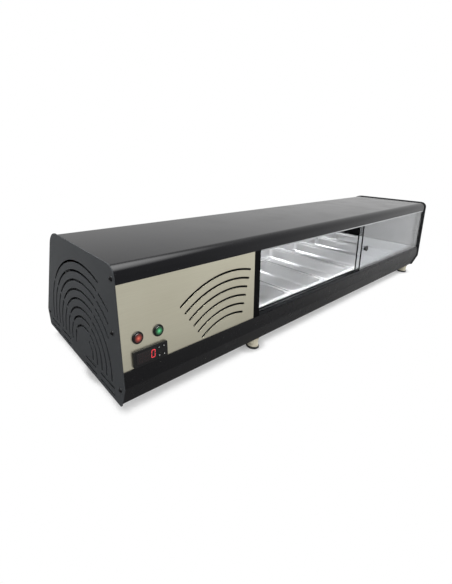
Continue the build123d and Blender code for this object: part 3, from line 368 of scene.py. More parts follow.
@dataclass(frozen=True)
class SheetGlass(Finish):
    """Float glass: clear with a trace of green, and faint smears from wiping."""

    smear: float = 45 * MM
    smear_dulling: float = 0.01

    def pattern(self, surface: Surface) -> None:
        """Makes the body clear and dulls its shine here and there.

        Args:
            surface: the material that gets this.
        """
        surface.shader.inputs["Transmission Weight"].default_value = 1.0
        smears = surface.add("ShaderNodeTexNoise", {
            "Scale": 1 / self.smear, "Detail": 4.0, "Roughness": 0.6,
        }, {"Vector": surface.space((1.0, 0.5, 0.5))})
        surface.dull(smears, self.roughness, self.roughness + self.smear_dulling)


@dataclass(frozen=True)
class LitLens(Finish):
    """Moulded translucent lens with a small lamp behind its middle."""

    ior: float = 1.58
    glow: str = "#ff6040"
    # base colour at the rim: painted shade where the lamp's light is weak
    rim: str = "#300804"
    centre: tuple[float, float, float] = (0.0, 0.0, 0.0)
    reach: float = 8.5 * MM
    power: float = 1.0
    falloff: float = 1.8           # how steeply the light fades towards the rim
    milkiness: float = 0.25        # share of the light that scatters inside
    scatter: tuple[float, float, float] = (2 * MM, MM, MM)
    texture: float = 1.2 * MM
    depth: float = 0.05 * MM
    relief: float = 0.2

    def pattern(self, surface: Surface) -> None:
        """Lets the light fall off from the lamp's place to the rim, where the base colour darkens
        as painted shade.

        Args:
            surface: the material that gets this.
        """
        surface.shader.inputs["Subsurface Weight"].default_value = self.milkiness
        surface.shader.inputs["Subsurface Radius"].default_value = self.scatter
        ball = surface.add("ShaderNodeTexGradient", {"gradient_type": "SPHERICAL"}, {
            "Vector": surface.space((1 / self.reach,) * 3, self.centre)}).outputs["Fac"]
        fine = surface.add("ShaderNodeTexNoise", {"Scale": 1 / self.texture, "Detail": 1.0},
                           {"Vector": surface.space()})
        surface.blend(ball, self.rim, self.colour)
        surface.blend(ball, self.colour, self.glow, "Emission Color")
        fall = surface.add("ShaderNodeMath", {"operation": "POWER", 1: self.falloff}, {0: ball})
        surface.feed("Emission Strength", surface.add(
            "ShaderNodeMath", PRODUCT | {1: self.power}, {0: fall}))
        surface.bump(fine, self.depth, self.relief)


@dataclass(frozen=True)
class Luminous(Finish):
    """A surface that gives its own light, such as a diffuser or a lit digit."""

    power: float = 1.0
    ribs: float = 2.2 * MM
    unevenness: float = 0.1

    def pattern(self, surface: Surface) -> None:
        """Adds the light and the fine ribs of the moulding.

        Args:
            surface: the material that gets them.
        """
        surface.shader.inputs["Emission Color"].default_value = linear(self.colour)
        surface.shader.inputs["Emission Strength"].default_value = self.power
        ribs = surface.add("ShaderNodeTexNoise", {"Scale": 1 / self.ribs, "Detail": 1.0},
                           {"Vector": surface.space(Grain.ALONG.value)})
        surface.dull(ribs, self.roughness, self.roughness + self.unevenness)


@dataclass(frozen=True)
class FinStack(Finish):
    """Thin aluminium fins side by side, as on a condenser."""

    metallic: float = 1.0
    # colour of the gaps between the fins: painted shade
    dark: str = "#3b3d3e"
    pitch: float = 8 * MM          # real fins stand 2 mm apart, drawn wider so that they show
    band: float = 0.3125           # width of one of the node's bands at a scale of 1
    depth: float = 0.5 * MM
    relief: float = 0.6

    def pattern(self, surface: Surface) -> None:
        """Adds painted shade in the gaps between the fins.

        Args:
            surface: the material that gets them.
        """
        bands = surface.add("ShaderNodeTexWave", {
            "wave_type": "BANDS", "bands_direction": "Y", "Scale": self.band / self.pitch,
            "Distortion": 0.0,
        }, {"Vector": surface.space()}).outputs["Fac"]
        surface.blend(bands, self.dark, self.colour)
        surface.bump(bands, self.depth, self.relief)


# The case's finishes, each starting from what the real one is

# Polyester powder coat, baked: dull, finely dimpled, hides the sheet's grain
POWDER_COAT = SprayedPaint(
    "powder_coat_graphite", "graphite_paint", "#333537", 0.55, specular=0.12, tone="#3a3c3e",
    grain=1.1 * MM, depth=0.05 * MM, relief=0.35)
# Baked acrylic gloss on the shelf: mirrors its surroundings softly at a low angle
GLOSS_PAINT = SprayedPaint(
    "baked_gloss_black", "black_gloss", "#0c0c10", 0.13, specular=0.19, tone="#101013",
    grain=3.5 * MM, depth=0.012 * MM, relief=0.12)
# The same paint in a satin grade on the skirt and posts: broad soft highlights
SATIN_PAINT = SprayedPaint(
    "baked_satin_black", "black_satin", "#0c0c0e", 0.28, specular=0.2, tone="#111113",
    grain=2.5 * MM, depth=0.015 * MM, relief=0.15)
# Matt black lining of the cold space's end wall: swallows the lamp's light
LINING = SprayedPaint(
    "lining_matt_black", "black_satin", "#0c0c0e", 0.62, specular=0.1, tone="#0f0f11",
    grain=1.1 * MM, unevenness=0.01)
# Black glass-like acrylic of the post between panel and doors: deep black, sharp shine
POST_GLOSS = SprayedPaint(
    "post_acrylic_black", "black_gloss", "#020203", 0.10, specular=0.04, tone="#040405",
    grain=5 * MM, depth=0.01 * MM, relief=0.08)
# Stainless sheet with a number 4 brush finish: warm grey, fine lines along the case
BRUSHED_PANEL = BrushedMetal(
    "brushed_stainless_panel", "stainless_brushed", "#d2ccb4", 0.38, tone="#f0edd9")
# Bright annealed stainless, deep drawn: nearly mirror, softly clouded by the press
DRAWN_STEEL = BrushedMetal(
    "drawn_stainless_tray", "stainless", "#d8d8d8", 0.38, tone="#e8e8e8",
    run=Grain.CLOUDY, grain=40 * MM, relief=0.0, unevenness=0.03)
# Rolled stainless sheet of the well and the inner walls
ROLLED_STEEL = BrushedMetal(
    "rolled_stainless_well", "stainless", "#a9aaaa", 0.38, tone="#c9cac9",
    run=Grain.ACROSS, relief=0.0)
# Hot-dip galvanised sheet of the hidden pans: pale grey crystals
ZINC = ZincCoated("galvanised_sheet", "galvanised", "#8e9497", 0.45)
# Extruded aluminium, bright anodised: silvery with die lines along its length
TRACK_METAL = BrushedMetal(
    "anodised_track", "track_aluminium", "#b4b6b8", 0.26, tone="#e8e9ea", grain=0.6 * MM)
# The lower track is coloured near black as painted shade along the doors' foot: it mirrors a little
# along its ribs
TRACK_PAINTED_SHADE = BrushedMetal(
    "anodised_track_black", "track_aluminium", "#232427", 0.30, tone="#3a3b3f",
    grain=0.6 * MM, relief=0.0)
# Clear float glass: faint green body, sharp reflections
DOOR_GLASS = SheetGlass("float_glass", "door_glass", "#f5f7f9", 0.0, ior=1.45, specular=0.42)
# ABS of the thermostat and knobs: black with a fine mould grain
BLACK_PLASTIC = Moulded(
    "abs_black", "black_plastic", "#0a0a0b", 0.38, tone="#131314", specular=0.3)
# Smoked acrylic over the digits: glossy and nearly black
SMOKED = Moulded(
    "smoked_acrylic", "display_window", "#0b0607", 0.12, ior=1.49, tone="#120a0b", relief=0.02)
# Clear coloured polycarbonate over the button lamps, with painted shade at the rim
RED_LENS = LitLens(
    "polycarbonate_red", "red_lens", "#8e180b", 0.22, glow="#f0836a", rim="#200402", power=0.7)
GREEN_LENS = LitLens(
    "polycarbonate_green", "green_lens", "#0b6a35", 0.22, glow="#74f0a8", rim="#03200f",
    power=0.8)
# Opal acrylic strip in front of the white light-emitting diodes
OPAL = Luminous("opal_diffuser", "opal", "#fbfcff", 0.4, power=30.0)
# Red light of the digit, and the segments that are off
LIT_SEGMENT = Luminous("digit_lit", "display_window", "#dc303c", 0.4)
DARK_SEGMENT = Moulded("digit_off", "display_window", "#1a0708", 0.4, tone="#220a0b")
# White ink printed on the keys
WHITE_INK = Moulded("printed_white", "black_plastic", "#c9cbcc", 0.5, tone="#d8dadb")
# Rigid polyurethane foam: dull cream with open pores at the cut faces
FOAM = Moulded(
    "polyurethane_foam", "foam", "#d6c98f", 0.9, tone="#e3d9a8", grain=2.0 * MM,
    depth=0.3 * MM)
# Drawn copper tube, browned by brazing
COPPER = BrushedMetal(
    "copper_tube", "copper", "#a2593a", 0.34, tone="#d08a5f", run=Grain.CLOUDY,
    grain=12 * MM, cloud=30 * MM)
# Black alkyd enamel of the compressor's can: thick and glossy
ENAMEL = SprayedPaint(
    "compressor_enamel", "compressor_black", "#161617", 0.24, tone="#1f1f21", grain=4 * MM,
    depth=0.05 * MM)
# Zinc-plated steel of the motor and the drier
PLATED = BrushedMetal(
    "plated_steel", "motor_steel", "#85878c", 0.36, tone="#aeb0b4", run=Grain.CLOUDY,
    grain=5 * MM)
# Bare aluminium fins of the condenser, with painted shade in the gaps between them
FINS = FinStack("condenser_fins", "condenser_aluminium", "#b6b8ba", 0.42)
# Vulcanised rubber: matt and slightly grey
RUBBER = Moulded(
    "black_rubber", "rubber_black", "#141414", 0.78, tone="#1f1f1f", grain=1.2 * MM)
# Glass-filled nylon of the feet: pale and matt
FOOT_PLASTIC = Moulded("nylon_pale", "foot_plastic", "#b9b29c", 0.55, tone="#c9c3b0")
# Blackened steel of the screws: dark with a soft shine on the domes
BLACK_OXIDE = SprayedPaint(
    "black_oxide", "black_screws", "#0b0b0c", 0.30, metallic=0.6, tone="#161618",
    grain=0.9 * MM, cloud=4 * MM)


def round_off(bm: BMesh, geom: list, width: float, segments: int, affect: str = "EDGES") -> dict:
    """Rounds edges or corners with a bevel.

    Args:
        bm: the mesh.
        geom: the edges or vertices.
        width: width taken off each side.
        segments: faces across the rounding.
        affect: EDGES or VERTICES.

    Returns:
        What the operator made.
    """
    return bmesh.ops.bevel(bm, geom=geom, offset=width, offset_type="OFFSET", segments=segments,
                           profile=0.5, affect=affect, clamp_overlap=True, material=-1)


def ease(bm: BMesh, width: float) -> None:
    """Rounds a mesh's sharp edges, with the width taken off each side of an edge."""
    sharp = [e for e in bm.edges if e.is_manifold and e.calc_face_angle(0.0) > SHARP]
    round_off(bm, sharp, width, 2)


def mesh_from(bm: BMesh, name: str) -> Mesh:
    """Makes a mesh from an edited one and uses that up.

    Args:
        bm: the edited mesh.
        name: the new mesh's name.

    Returns:
        The new mesh.
    """
    mesh = bpy.data.meshes.new(name)
    bm.to_mesh(mesh)
    bm.free()
    return mesh


def gather(parts: Sequence[BMesh]) -> BMesh:
    """Joins meshes into one and uses them up.

    Args:
        parts: the meshes.

    Returns:
        One mesh with all of them.
    """
    whole = bmesh.new()
    for part in parts:
        carrier = mesh_from(part, "carrier")
        whole.from_mesh(carrier)
        bpy.data.meshes.remove(carrier)
    return whole


def turned(profile: Sequence[tuple[float, float]], steps: int) -> BMesh:
    """Turns a profile about the Z axis, as on a lathe.

    Args:
        profile: (radius, height) points from the bottom up, both ends on the axis.
        steps: faces round the piece.

    Returns:
        The closed mesh.
    """
    bm = bmesh.new()
    verts = [bm.verts.new((radius, 0.0, height)) for radius, height in profile]
    edges = [bm.edges.new(pair) for pair in zip(verts, verts[1:])]
    bmesh.ops.spin(bm, geom=verts + edges, cent=(0, 0, 0), axis=(0, 0, 1), dvec=(0, 0, 0),
                   angle=tau, steps=steps, use_merge=True)
    bmesh.ops.remove_doubles(bm, verts=bm.verts, dist=WELD)
    bmesh.ops.recalc_face_normals(bm, faces=bm.faces)
    return bm


def thickened(bm: BMesh, height: float) -> BMesh:
    """Gives the flat faces of a mesh a height along Z.

    Args:
        bm: the flat mesh.
        height: its height.

    Returns:
        The same mesh, closed.
    """
    raised = bmesh.ops.extrude_face_region(bm, geom=bm.faces[:])
    tops = [v for v in raised["geom"] if isinstance(v, BMVert)]
    bmesh.ops.translate(bm, vec=(0, 0, height), verts=tops)
    bmesh.ops.recalc_face_normals(bm, faces=bm.faces)
    return bm


def placed(bm: BMesh, place: Matrix) -> BMesh:
    """Moves a whole mesh to its place and gives it back."""
    bmesh.ops.transform(bm, matrix=place, verts=bm.verts)
    return bm


def middle(box: Box) -> Vector:
    """Centre of a box."""
    return (box[0] + box[1]) / 2


def on_front(centre: Vector) -> Matrix:
    """Place on the leaning front: X along the case, Y up the slope and Z outwards."""
    return Matrix.Translation(centre) @ Matrix.Rotation(pi / 2 - FRONT_LEAN, 4, "X")


def on_floor(box: Box) -> Matrix:
    """Place at the middle of a box's floor."""
    spot = middle(box)
    return Matrix.Translation((spot.x, spot.y, box[0].z))


@dataclass
class Assembly:
    """Turns meshes into finished pieces and hands them to the frame."""

    nodes: dict[str, Object]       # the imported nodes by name
    edge: float = 0.3 * MM         # width taken off each side of a plain sharp edge

    def dress(self, finish: Finish, *names: str) -> None:
        """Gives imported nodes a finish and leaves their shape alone.

        Args:
            finish: the finish they get.
            *names: the nodes.
        """
        for name in names:
            slots = self.nodes[name].data.materials
            slots.clear()
            slots.append(finish.build())
            LOG.info("%s: dressed in %s", name, finish.name)

    def copy_of(self, name: str) -> BMesh:
        """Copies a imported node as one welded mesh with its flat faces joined.

        Args:
            name: the node.

        Returns:
            The copy.
        """
        bm = bmesh.new()
        bm.from_mesh(self.nodes[name].data)
        bmesh.ops.remove_doubles(bm, verts=bm.verts, dist=WELD)
        bmesh.ops.dissolve_limit(bm, angle_limit=FLAT, use_dissolve_boundaries=False,
                                 verts=bm.verts, edges=bm.edges)
        return bm

    def solids(self, name: str) -> list[Box]:
        """Finds the boxes of a node's separate solids.

        Args:
            name: the node.

        Returns:
            The lowest and highest corner of each solid.
        """
        bm = self.copy_of(name)
        left = set(bm.verts)
        boxes = []
        while left:
            group, edge = set(), [left.pop()]
            while edge:
                vert = edge.pop()
                group.add(vert)
                near = {e.other_vert(vert) for e in vert.link_edges} & left
                left -= near
                edge.extend(near)
            spots = [v.co for v in group]
            boxes.append(tuple(Vector([pick(c[i] for c in spots) for i in range(3)])
                               for pick in (min, max)))
        bm.free()
        return sorted(boxes, key=lambda box: tuple(box[0]))

    def hand_over(self, bm: BMesh, name: str, finish: Finish, body: str,
                  replaces: Iterable[str] = (), wall: float = 0.0) -> None:
        """Makes a piece of the object from a mesh.

        Args:
            bm: the mesh in the frame's axes; it is used up.
            name: the piece's name.
            finish: its finish.
            body: the body that carries it.
            replaces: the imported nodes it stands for.
            wall: thickness to give an open sheet, away from its faces' fronts.
        """
        mesh = mesh_from(bm, name)
        mesh.shade_smooth()
        mesh.set_sharp_from_angle(angle=CREASE)
        mesh.materials.append(finish.build())
        piece = linked(name, mesh)
        if wall:
            sheet = piece.modifiers.new("sheet", "SOLIDIFY")
            sheet.thickness, sheet.offset, sheet.use_even_offset = wall, -1.0, True
        normals = piece.modifiers.new("flat_faces", "WEIGHTED_NORMAL")
        normals.keep_sharp = True
        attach(piece, body)
        if replaces:
            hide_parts(*replaces)
        LOG.info("%s: made, rides on %s", name, body)

    def eased(self, node: str, name: str, finish: Finish, edge: float | None = None) -> None:
        """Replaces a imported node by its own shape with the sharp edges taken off.

        Args:
            node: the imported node.
            name: the piece's name.
            finish: its finish.
            edge: width taken off each side of an edge, where it isn't the plain one.
        """
        bm = self.copy_of(node)
        ease(bm, edge or self.edge)
        self.hand_over(bm, name, finish, self.nodes[node]["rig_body"], [node])


def folded_sheet(corners: Sequence[tuple[float, float, float]], start: float, end: float,
                 bend_faces: int) -> BMesh:
    """Folds a sheet along the case and leaves it without thickness.

    Args:
        corners: its outer line as (y, z, bend radius) corners.
        start: where it begins along the case.
        end: where it ends.
        bend_faces: faces across a bend.

    Returns:
        The open mesh with the front of its largest level face upwards.
    """
    bm = bmesh.new()
    verts = [bm.verts.new((start, y, z)) for y, z, _ in corners]
    edges = [bm.edges.new(pair) for pair in zip(verts, verts[1:])]
    made = bmesh.ops.extrude_edge_only(bm, edges=edges)
    moved = [v for v in made["geom"] if isinstance(v, BMVert)]
    bmesh.ops.translate(bm, vec=(end - start, 0, 0), verts=moved)
    for y, z, radius in corners[1:-1]:
        fold = next(e for e in bm.edges if len(e.link_faces) == 2 and all(
            abs(v.co.y - y) < WELD and abs(v.co.z - z) < WELD for v in e.verts))
        round_off(bm, [fold], radius * tan(fold.calc_face_angle() / 2), bend_faces)
    bmesh.ops.recalc_face_normals(bm, faces=bm.faces)
    upwards = [f.normal.z * f.calc_area() for f in bm.faces]
    if -min(upwards) > max(upwards):
        bmesh.ops.reverse_faces(bm, faces=bm.faces)
    return bm


@dataclass
class PhotoCamera:
    """The camera that took the photograph, found from the case's own edges and arcs."""

    image: tuple[int, int] = (452, 584)              # width and height in pixels
    focal_pixels: float = 316.2
    principal_point: tuple[float, float] = (156.98, 280.66)
    place: tuple[float, float, float] = (-0.94696, -0.56769, 0.44935)
    heading: float = 0.6448                          # from +Y towards +X, radians
    dip: float = 0.38272                             # below level, radians
    roll: float = 0.02422                            # about its own line of sight
    sensor: float = 36.0
    clip_end: float = 100.0

    def build(self) -> None:
        """Adds the camera and makes it the scene's own."""
        data = bpy.data.cameras.new("photo_camera")
        width, height = self.image
        across, down = self.principal_point
        data.sensor_width = self.sensor
        data.lens = self.focal_pixels / height * self.sensor
        data.shift_x = (width / 2 - across) / height
        data.shift_y = (down - height / 2) / height
        data.clip_end = self.clip_end
        camera = linked("photo_camera", data)
        camera.matrix_world = self.matrix()
        bpy.context.scene.camera = camera

    def matrix(self) -> Matrix:
        """Works out the camera's place and turn.

        Returns:
            Its matrix, looking along its own -Z.
        """
        forward = Vector((sin(self.heading) * cos(self.dip), cos(self.heading) * cos(self.dip),
                          -sin(self.dip)))
        right = Vector((cos(self.heading), -sin(self.heading), 0.0))
        below = forward.cross(right)
        turn_right = right * cos(self.roll) - below * sin(self.roll)
        turn_below = right * sin(self.roll) + below * cos(self.roll)
        axes = Matrix((turn_right, -turn_below, -forward)).transposed().to_4x4()
        return Matrix.Translation(self.place) @ axes


@dataclass
class Studio:
    """A white backdrop and floor, darker on the camera's side, with a softbox overhead.

    Each edge is a range: where a change begins and where it is full.
    """

    white: str = "#ffffff"
    paper: str = "#f0f0f0"         # the floor's own colour, which takes the shadow
    strength: float = 1.0          # of the sky and of the floor where they are seen
    floor_radius: float = 6.0
    lit_edge: tuple[float, float] = (1.19, 1.7)       # how far out the floor turns plain white
    contact: float = 0.035         # how far from the case its contact shadow reaches
    contact_edge: tuple[float, float] = (0.7, 0.84)   # that shadow's share of open sky
    contact_white: float = 0.2     # and its least share of white
    near_gloss: float = 0.55       # what shiny faces mirror on the camera's side
    right_gloss: float = 0.75      # to the right of the case
    far_gloss: float = 0.75        # and behind it
    under_gloss: float = 0.38      # share of it left close to the case, where its own shade is
    softbox_gloss: float = 10.0
    right_edge: tuple[float, float] = (0.2, 0.9)      # X of a direction
    far_edge: tuple[float, float] = (-0.25, 0.15)     # its Y
    softbox_edge: tuple[float, float] = (0.65, 0.95)  # and its Z
    shade_edge: tuple[float, float] = (0.2, 0.5)      # how far out the case's shade reaches
    sun_strength: float = 0.5
    sun_width: float = radians(70)
    sun_turn: tuple[float, float] = (radians(25), radians(-20))

    def build(self) -> None:
        """Adds the sky, the floor and the lamp."""
        self.sky()
        self.floor()
        self.lamp()
        bpy.context.scene.view_settings.view_transform = "Standard"

    def mirrored(self, tree: NodeTree, direction: Source) -> Node:
        """Gives the studio's brightness in shiny faces: darkest towards the camera.

        Args:
            tree: the node tree that gets the nodes.
            direction: a direction from the case.

        Returns:
            The node with the brightness.
        """
        parts = add_node(tree, "ShaderNodeSeparateXYZ", links={"Vector": direction})
        sides = {}
        for axis, (start, full), brightness in ((0, self.right_edge, self.right_gloss),
                                                (1, self.far_edge, self.far_gloss)):
            sides[axis] = add_node(tree, "ShaderNodeMapRange", SOFT | {
                "From Min": start, "From Max": full, "To Min": self.near_gloss,
                "To Max": brightness}, {"Value": parts.outputs[axis]})
        return add_node(tree, "ShaderNodeMath", LARGER, sides)

    def sky(self) -> None:
        """Makes the world: white where it is seen, and another brightness in shiny faces."""
        world = bpy.data.worlds.new("studio_sky")
        tree = empty_tree(world)
        add = partial(add_node, tree)
        path = add("ShaderNodeLightPath")
        direction = add("ShaderNodeTexCoord").outputs["Generated"]
        parts = add("ShaderNodeSeparateXYZ", links={"Vector": direction})
        start, full = self.softbox_edge
        overhead = add("ShaderNodeMapRange", SOFT | {
            "From Min": start, "From Max": full, "To Max": self.softbox_gloss,
        }, {"Value": parts.outputs["Z"]})
        shiny = add("ShaderNodeMath", {"operation": "ADD"},
                    {0: self.mirrored(tree, direction), 1: overhead})
        strength = add("ShaderNodeMix", {2: self.strength},
                       {0: path.outputs["Is Glossy Ray"], 3: shiny})
        light = add("ShaderNodeBackground", {"Color": linear(self.white)}, {"Strength": strength})
        add("ShaderNodeOutputWorld", links={"Surface": light})
        bpy.context.scene.world = world

    def floor_finish(self) -> Material:
        """Makes the floor's material.

        Returns:
            Paper that shows the shadow near the case, is white further out, and is dimmer in
            shiny faces.
        """
        material = bpy.data.materials.new("studio_floor")
        tree = empty_tree(material)
        add = partial(add_node, tree)
        path = add("ShaderNodeLightPath")
        glossy = path.outputs["Is Glossy Ray"]
        place = add("ShaderNodeTexCoord").outputs["Object"]
        paper = add("ShaderNodeBsdfPrincipled", {
            "Base Color": linear(self.paper), "Roughness": 0.9, "Specular IOR Level": 0.0})
        heading = add("ShaderNodeVectorMath", {"operation": "NORMALIZE"}, {0: place})
        out = add("ShaderNodeSeparateXYZ", links={"Vector": place})
        from_middle = add("ShaderNodeMath", {"operation": "ABSOLUTE"}, {0: out.outputs["Y"]})
        start, full = self.shade_edge
        shade = add("ShaderNodeMapRange", {
            "From Min": start, "From Max": full, "To Min": self.under_gloss,
        }, {"Value": from_middle})
        shiny = add("ShaderNodeMath", PRODUCT, {0: self.mirrored(tree, heading), 1: shade})
        strength = add("ShaderNodeMix", {2: self.strength}, {0: glossy, 3: shiny})
        glow = add("ShaderNodeEmission", {"Color": linear(self.white)}, {"Strength": strength})
        reach = add("ShaderNodeVectorMath", {"operation": "LENGTH"}, {0: place})
        start, full = self.lit_edge
        far_out = add("ShaderNodeMapRange", {"From Min": start, "From Max": full},
                      {"Value": reach.outputs["Value"]})
        open_sky = add("ShaderNodeAmbientOcclusion", {"Distance": self.contact})
        start, full = self.contact_edge
        unshaded = add("ShaderNodeMapRange", SOFT | {
            "From Min": start, "From Max": full, "To Min": self.contact_white,
        }, {"Value": open_sky.outputs["AO"]})
        light = add("ShaderNodeMath", LARGER, {0: far_out, 1: unshaded})
        seen = add("ShaderNodeMath", LARGER, {
            0: path.outputs["Is Camera Ray"], 1: path.outputs["Is Transmission Ray"]})
        shown = add("ShaderNodeMath", PRODUCT, {0: light, 1: seen})
        glowing = add("ShaderNodeMath", LARGER, {0: shown, 1: glossy})
        surface = add("ShaderNodeMixShader", links={0: glowing, 1: paper, 2: glow})
        add("ShaderNodeOutputMaterial", links={"Surface": surface})
        return material

    def floor(self) -> None:
        """Adds the round floor, which isn't part of the object."""
        bm = bmesh.new()
        bmesh.ops.create_circle(bm, cap_ends=True, segments=64, radius=self.floor_radius)
        mesh = mesh_from(bm, "studio_floor")
        mesh.materials.append(self.floor_finish())
        linked("studio_floor", mesh)

    def lamp(self) -> None:
        """Adds a wide weak sun from the front left."""
        sun = bpy.data.lights.new("wide_sun", "SUN")
        sun.energy = self.sun_strength
        sun.angle = self.sun_width
        linked("wide_sun", sun).rotation_euler = (*self.sun_turn, 0.0)


@dataclass(frozen=True)
class SocketScrew:
    """Domed screw with a round socket, its top at z = 0 and its shank downwards."""

    head: float = 2.6 * MM
    shank: float = 0.4             # radius as a share of the head's
    socket: float = 0.34           # radius too
    socket_rim: float = 1.25       # radius of the socket's chamfer as a share of the socket's
    chamfer: float = 0.15 * MM
    socket_depth: float = 1.5 * MM
    socket_tip: float = 0.2 * MM   # how far the drill's point went further
    dome: float = 0.92             # share of the head's height that the dome takes
    dome_angles: tuple[float, ...] = (18, 36, 54)      # degrees up from the head's edge
    steps: int = 24

    def build(self, radius: float, length: float) -> BMesh:
        """Turns the screw.

        Args:
            radius: radius of the head.
            length: whole length.

        Returns:
            The closed mesh.
        """
        head, shank, socket = self.head, radius * self.shank, radius * self.socket
        dome = [(radius * cos(a), -head + (head * self.dome) * sin(a))
                for a in map(radians, self.dome_angles)]
        return turned([
            (0.0, -length), (shank, -length), (shank, -head), (radius, -head), *dome,
            (socket * self.socket_rim, 0.0), (socket, -self.chamfer),
            (socket, -self.socket_depth), (0.0, -self.socket_depth - self.socket_tip)], self.steps)


@dataclass
class Casework(Assembly):
    """End plates, cover, skirts and the hidden pan."""

    sheet: float = 1.2 * MM
    front_roll: float = 19 * MM    # outer radius of the cover's front bend
    back_roll: float = 42 * MM
    roll_faces: int = 28
    front_lip: float = 8 * MM      # height of the cover's front edge over its rear one
    plate_edge: float = 0.35 * MM
    skirt_fold: float = 3.5 * MM   # how far the skirt's soft fold reaches over each face
    fold_faces: int = 6
    fold_slack: float = 0.05 * MM  # points this close behind the foremost line are on it
    screw: SocketScrew = SocketScrew()

    def build(self) -> None:
        """Builds and dresses the whole case."""
        self.cover()
        for side in ("left", "right"):
            self.eased(f"end_plate_{side}", f"{side}_plate_sheet", POWDER_COAT, self.plate_edge)
        self.skirt()
        self.eased("rear_fascia", "rear_skirt", SATIN_PAINT)
        self.eased("machine_rear_panel", "rear_service_panel", SATIN_PAINT)
        self.dress(ZINC, "base_pan")
        self.screws()

    def cover(self) -> None:
        """Builds the cover with round bends from its packed box and the two leans."""
        low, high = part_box("top_cover")
        front_edge = low.z + self.front_lip
        top = high.z
        front_y = low.y + (top - front_edge) * tan(FRONT_LEAN)
        back_y = high.y - (top - low.z) * tan(BACK_LEAN)
        bm = folded_sheet(((low.y, front_edge, 0.0), (front_y, top, self.front_roll),
                           (back_y, top, self.back_roll), (high.y, low.z, 0.0)),
                          low.x, high.x, self.roll_faces)
        self.hand_over(bm, "cover_sheet", GLOSS_PAINT, "cabinet", ["top_cover"], wall=self.sheet)

    def skirt(self) -> None:
        """Builds the front skirt with a soft fold along its foremost line."""
        bm = self.copy_of("lower_fascia")
        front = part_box("lower_fascia")[0].y
        fold = [e for e in bm.edges if all(v.co.y - front < self.fold_slack for v in e.verts)]
        round_off(bm, fold, self.skirt_fold, self.fold_faces)
        ease(bm, self.edge)
        self.hand_over(bm, "front_skirt", SATIN_PAINT, "cabinet", ["lower_fascia"])

    def screws(self) -> None:
        """Makes a domed socket screw at each packed screw."""
        parts = []
        for low, high in self.solids("end_plate_screws"):
            side = -1 if low.x < 0 else 1
            centre = middle((low, high))
            centre.x = low.x if side < 0 else high.x
            place = Matrix.Translation(centre) @ Matrix.Rotation(side * pi / 2, 4, "Y")
            screw = self.screw.build((high.z - low.z) / 2, high.x - low.x)
            parts.append(placed(screw, place))
        self.hand_over(gather(parts), "plate_screws", BLACK_OXIDE, "cabinet", ["end_plate_screws"])


@dataclass
class MachineFront(Assembly):
    """Stainless control panel, the post beside it and the two lit buttons."""

    panel_edge: float = 0.25 * MM
    post_edge: float = 0.6 * MM
    lamp_depth: float = 4.5 * MM   # the glow's middle, outwards from the lens's own

    def build(self) -> None:
        """Builds the panel, the post and both buttons."""
        self.eased("control_panel", "control_panel_sheet", BRUSHED_PANEL, self.panel_edge)
        self.eased("mullion", "door_post", POST_GLOSS, self.post_edge)
        self.button("red", RED_LENS)
        self.button("green", GREEN_LENS)

    def button(self, colour: str, finish: LitLens) -> None:
        """Builds one button's collar and lens and dresses its nut.

        Args:
            colour: red or green, as in the nodes' names.
            finish: the lens's finish.
        """
        node = f"{colour}_button_lens"
        lamp = middle(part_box(node)) + OUTWARDS * self.lamp_depth
        self.hand_over(self.copy_of(node), f"{colour}_lens",
                       replace(finish, centre=tuple(lamp)), f"{colour}_button", [node])
        self.eased(f"{colour}_button_bezel", f"{colour}_collar", BLACK_PLASTIC)
        self.dress(BLACK_PLASTIC, f"{colour}_button_nut")


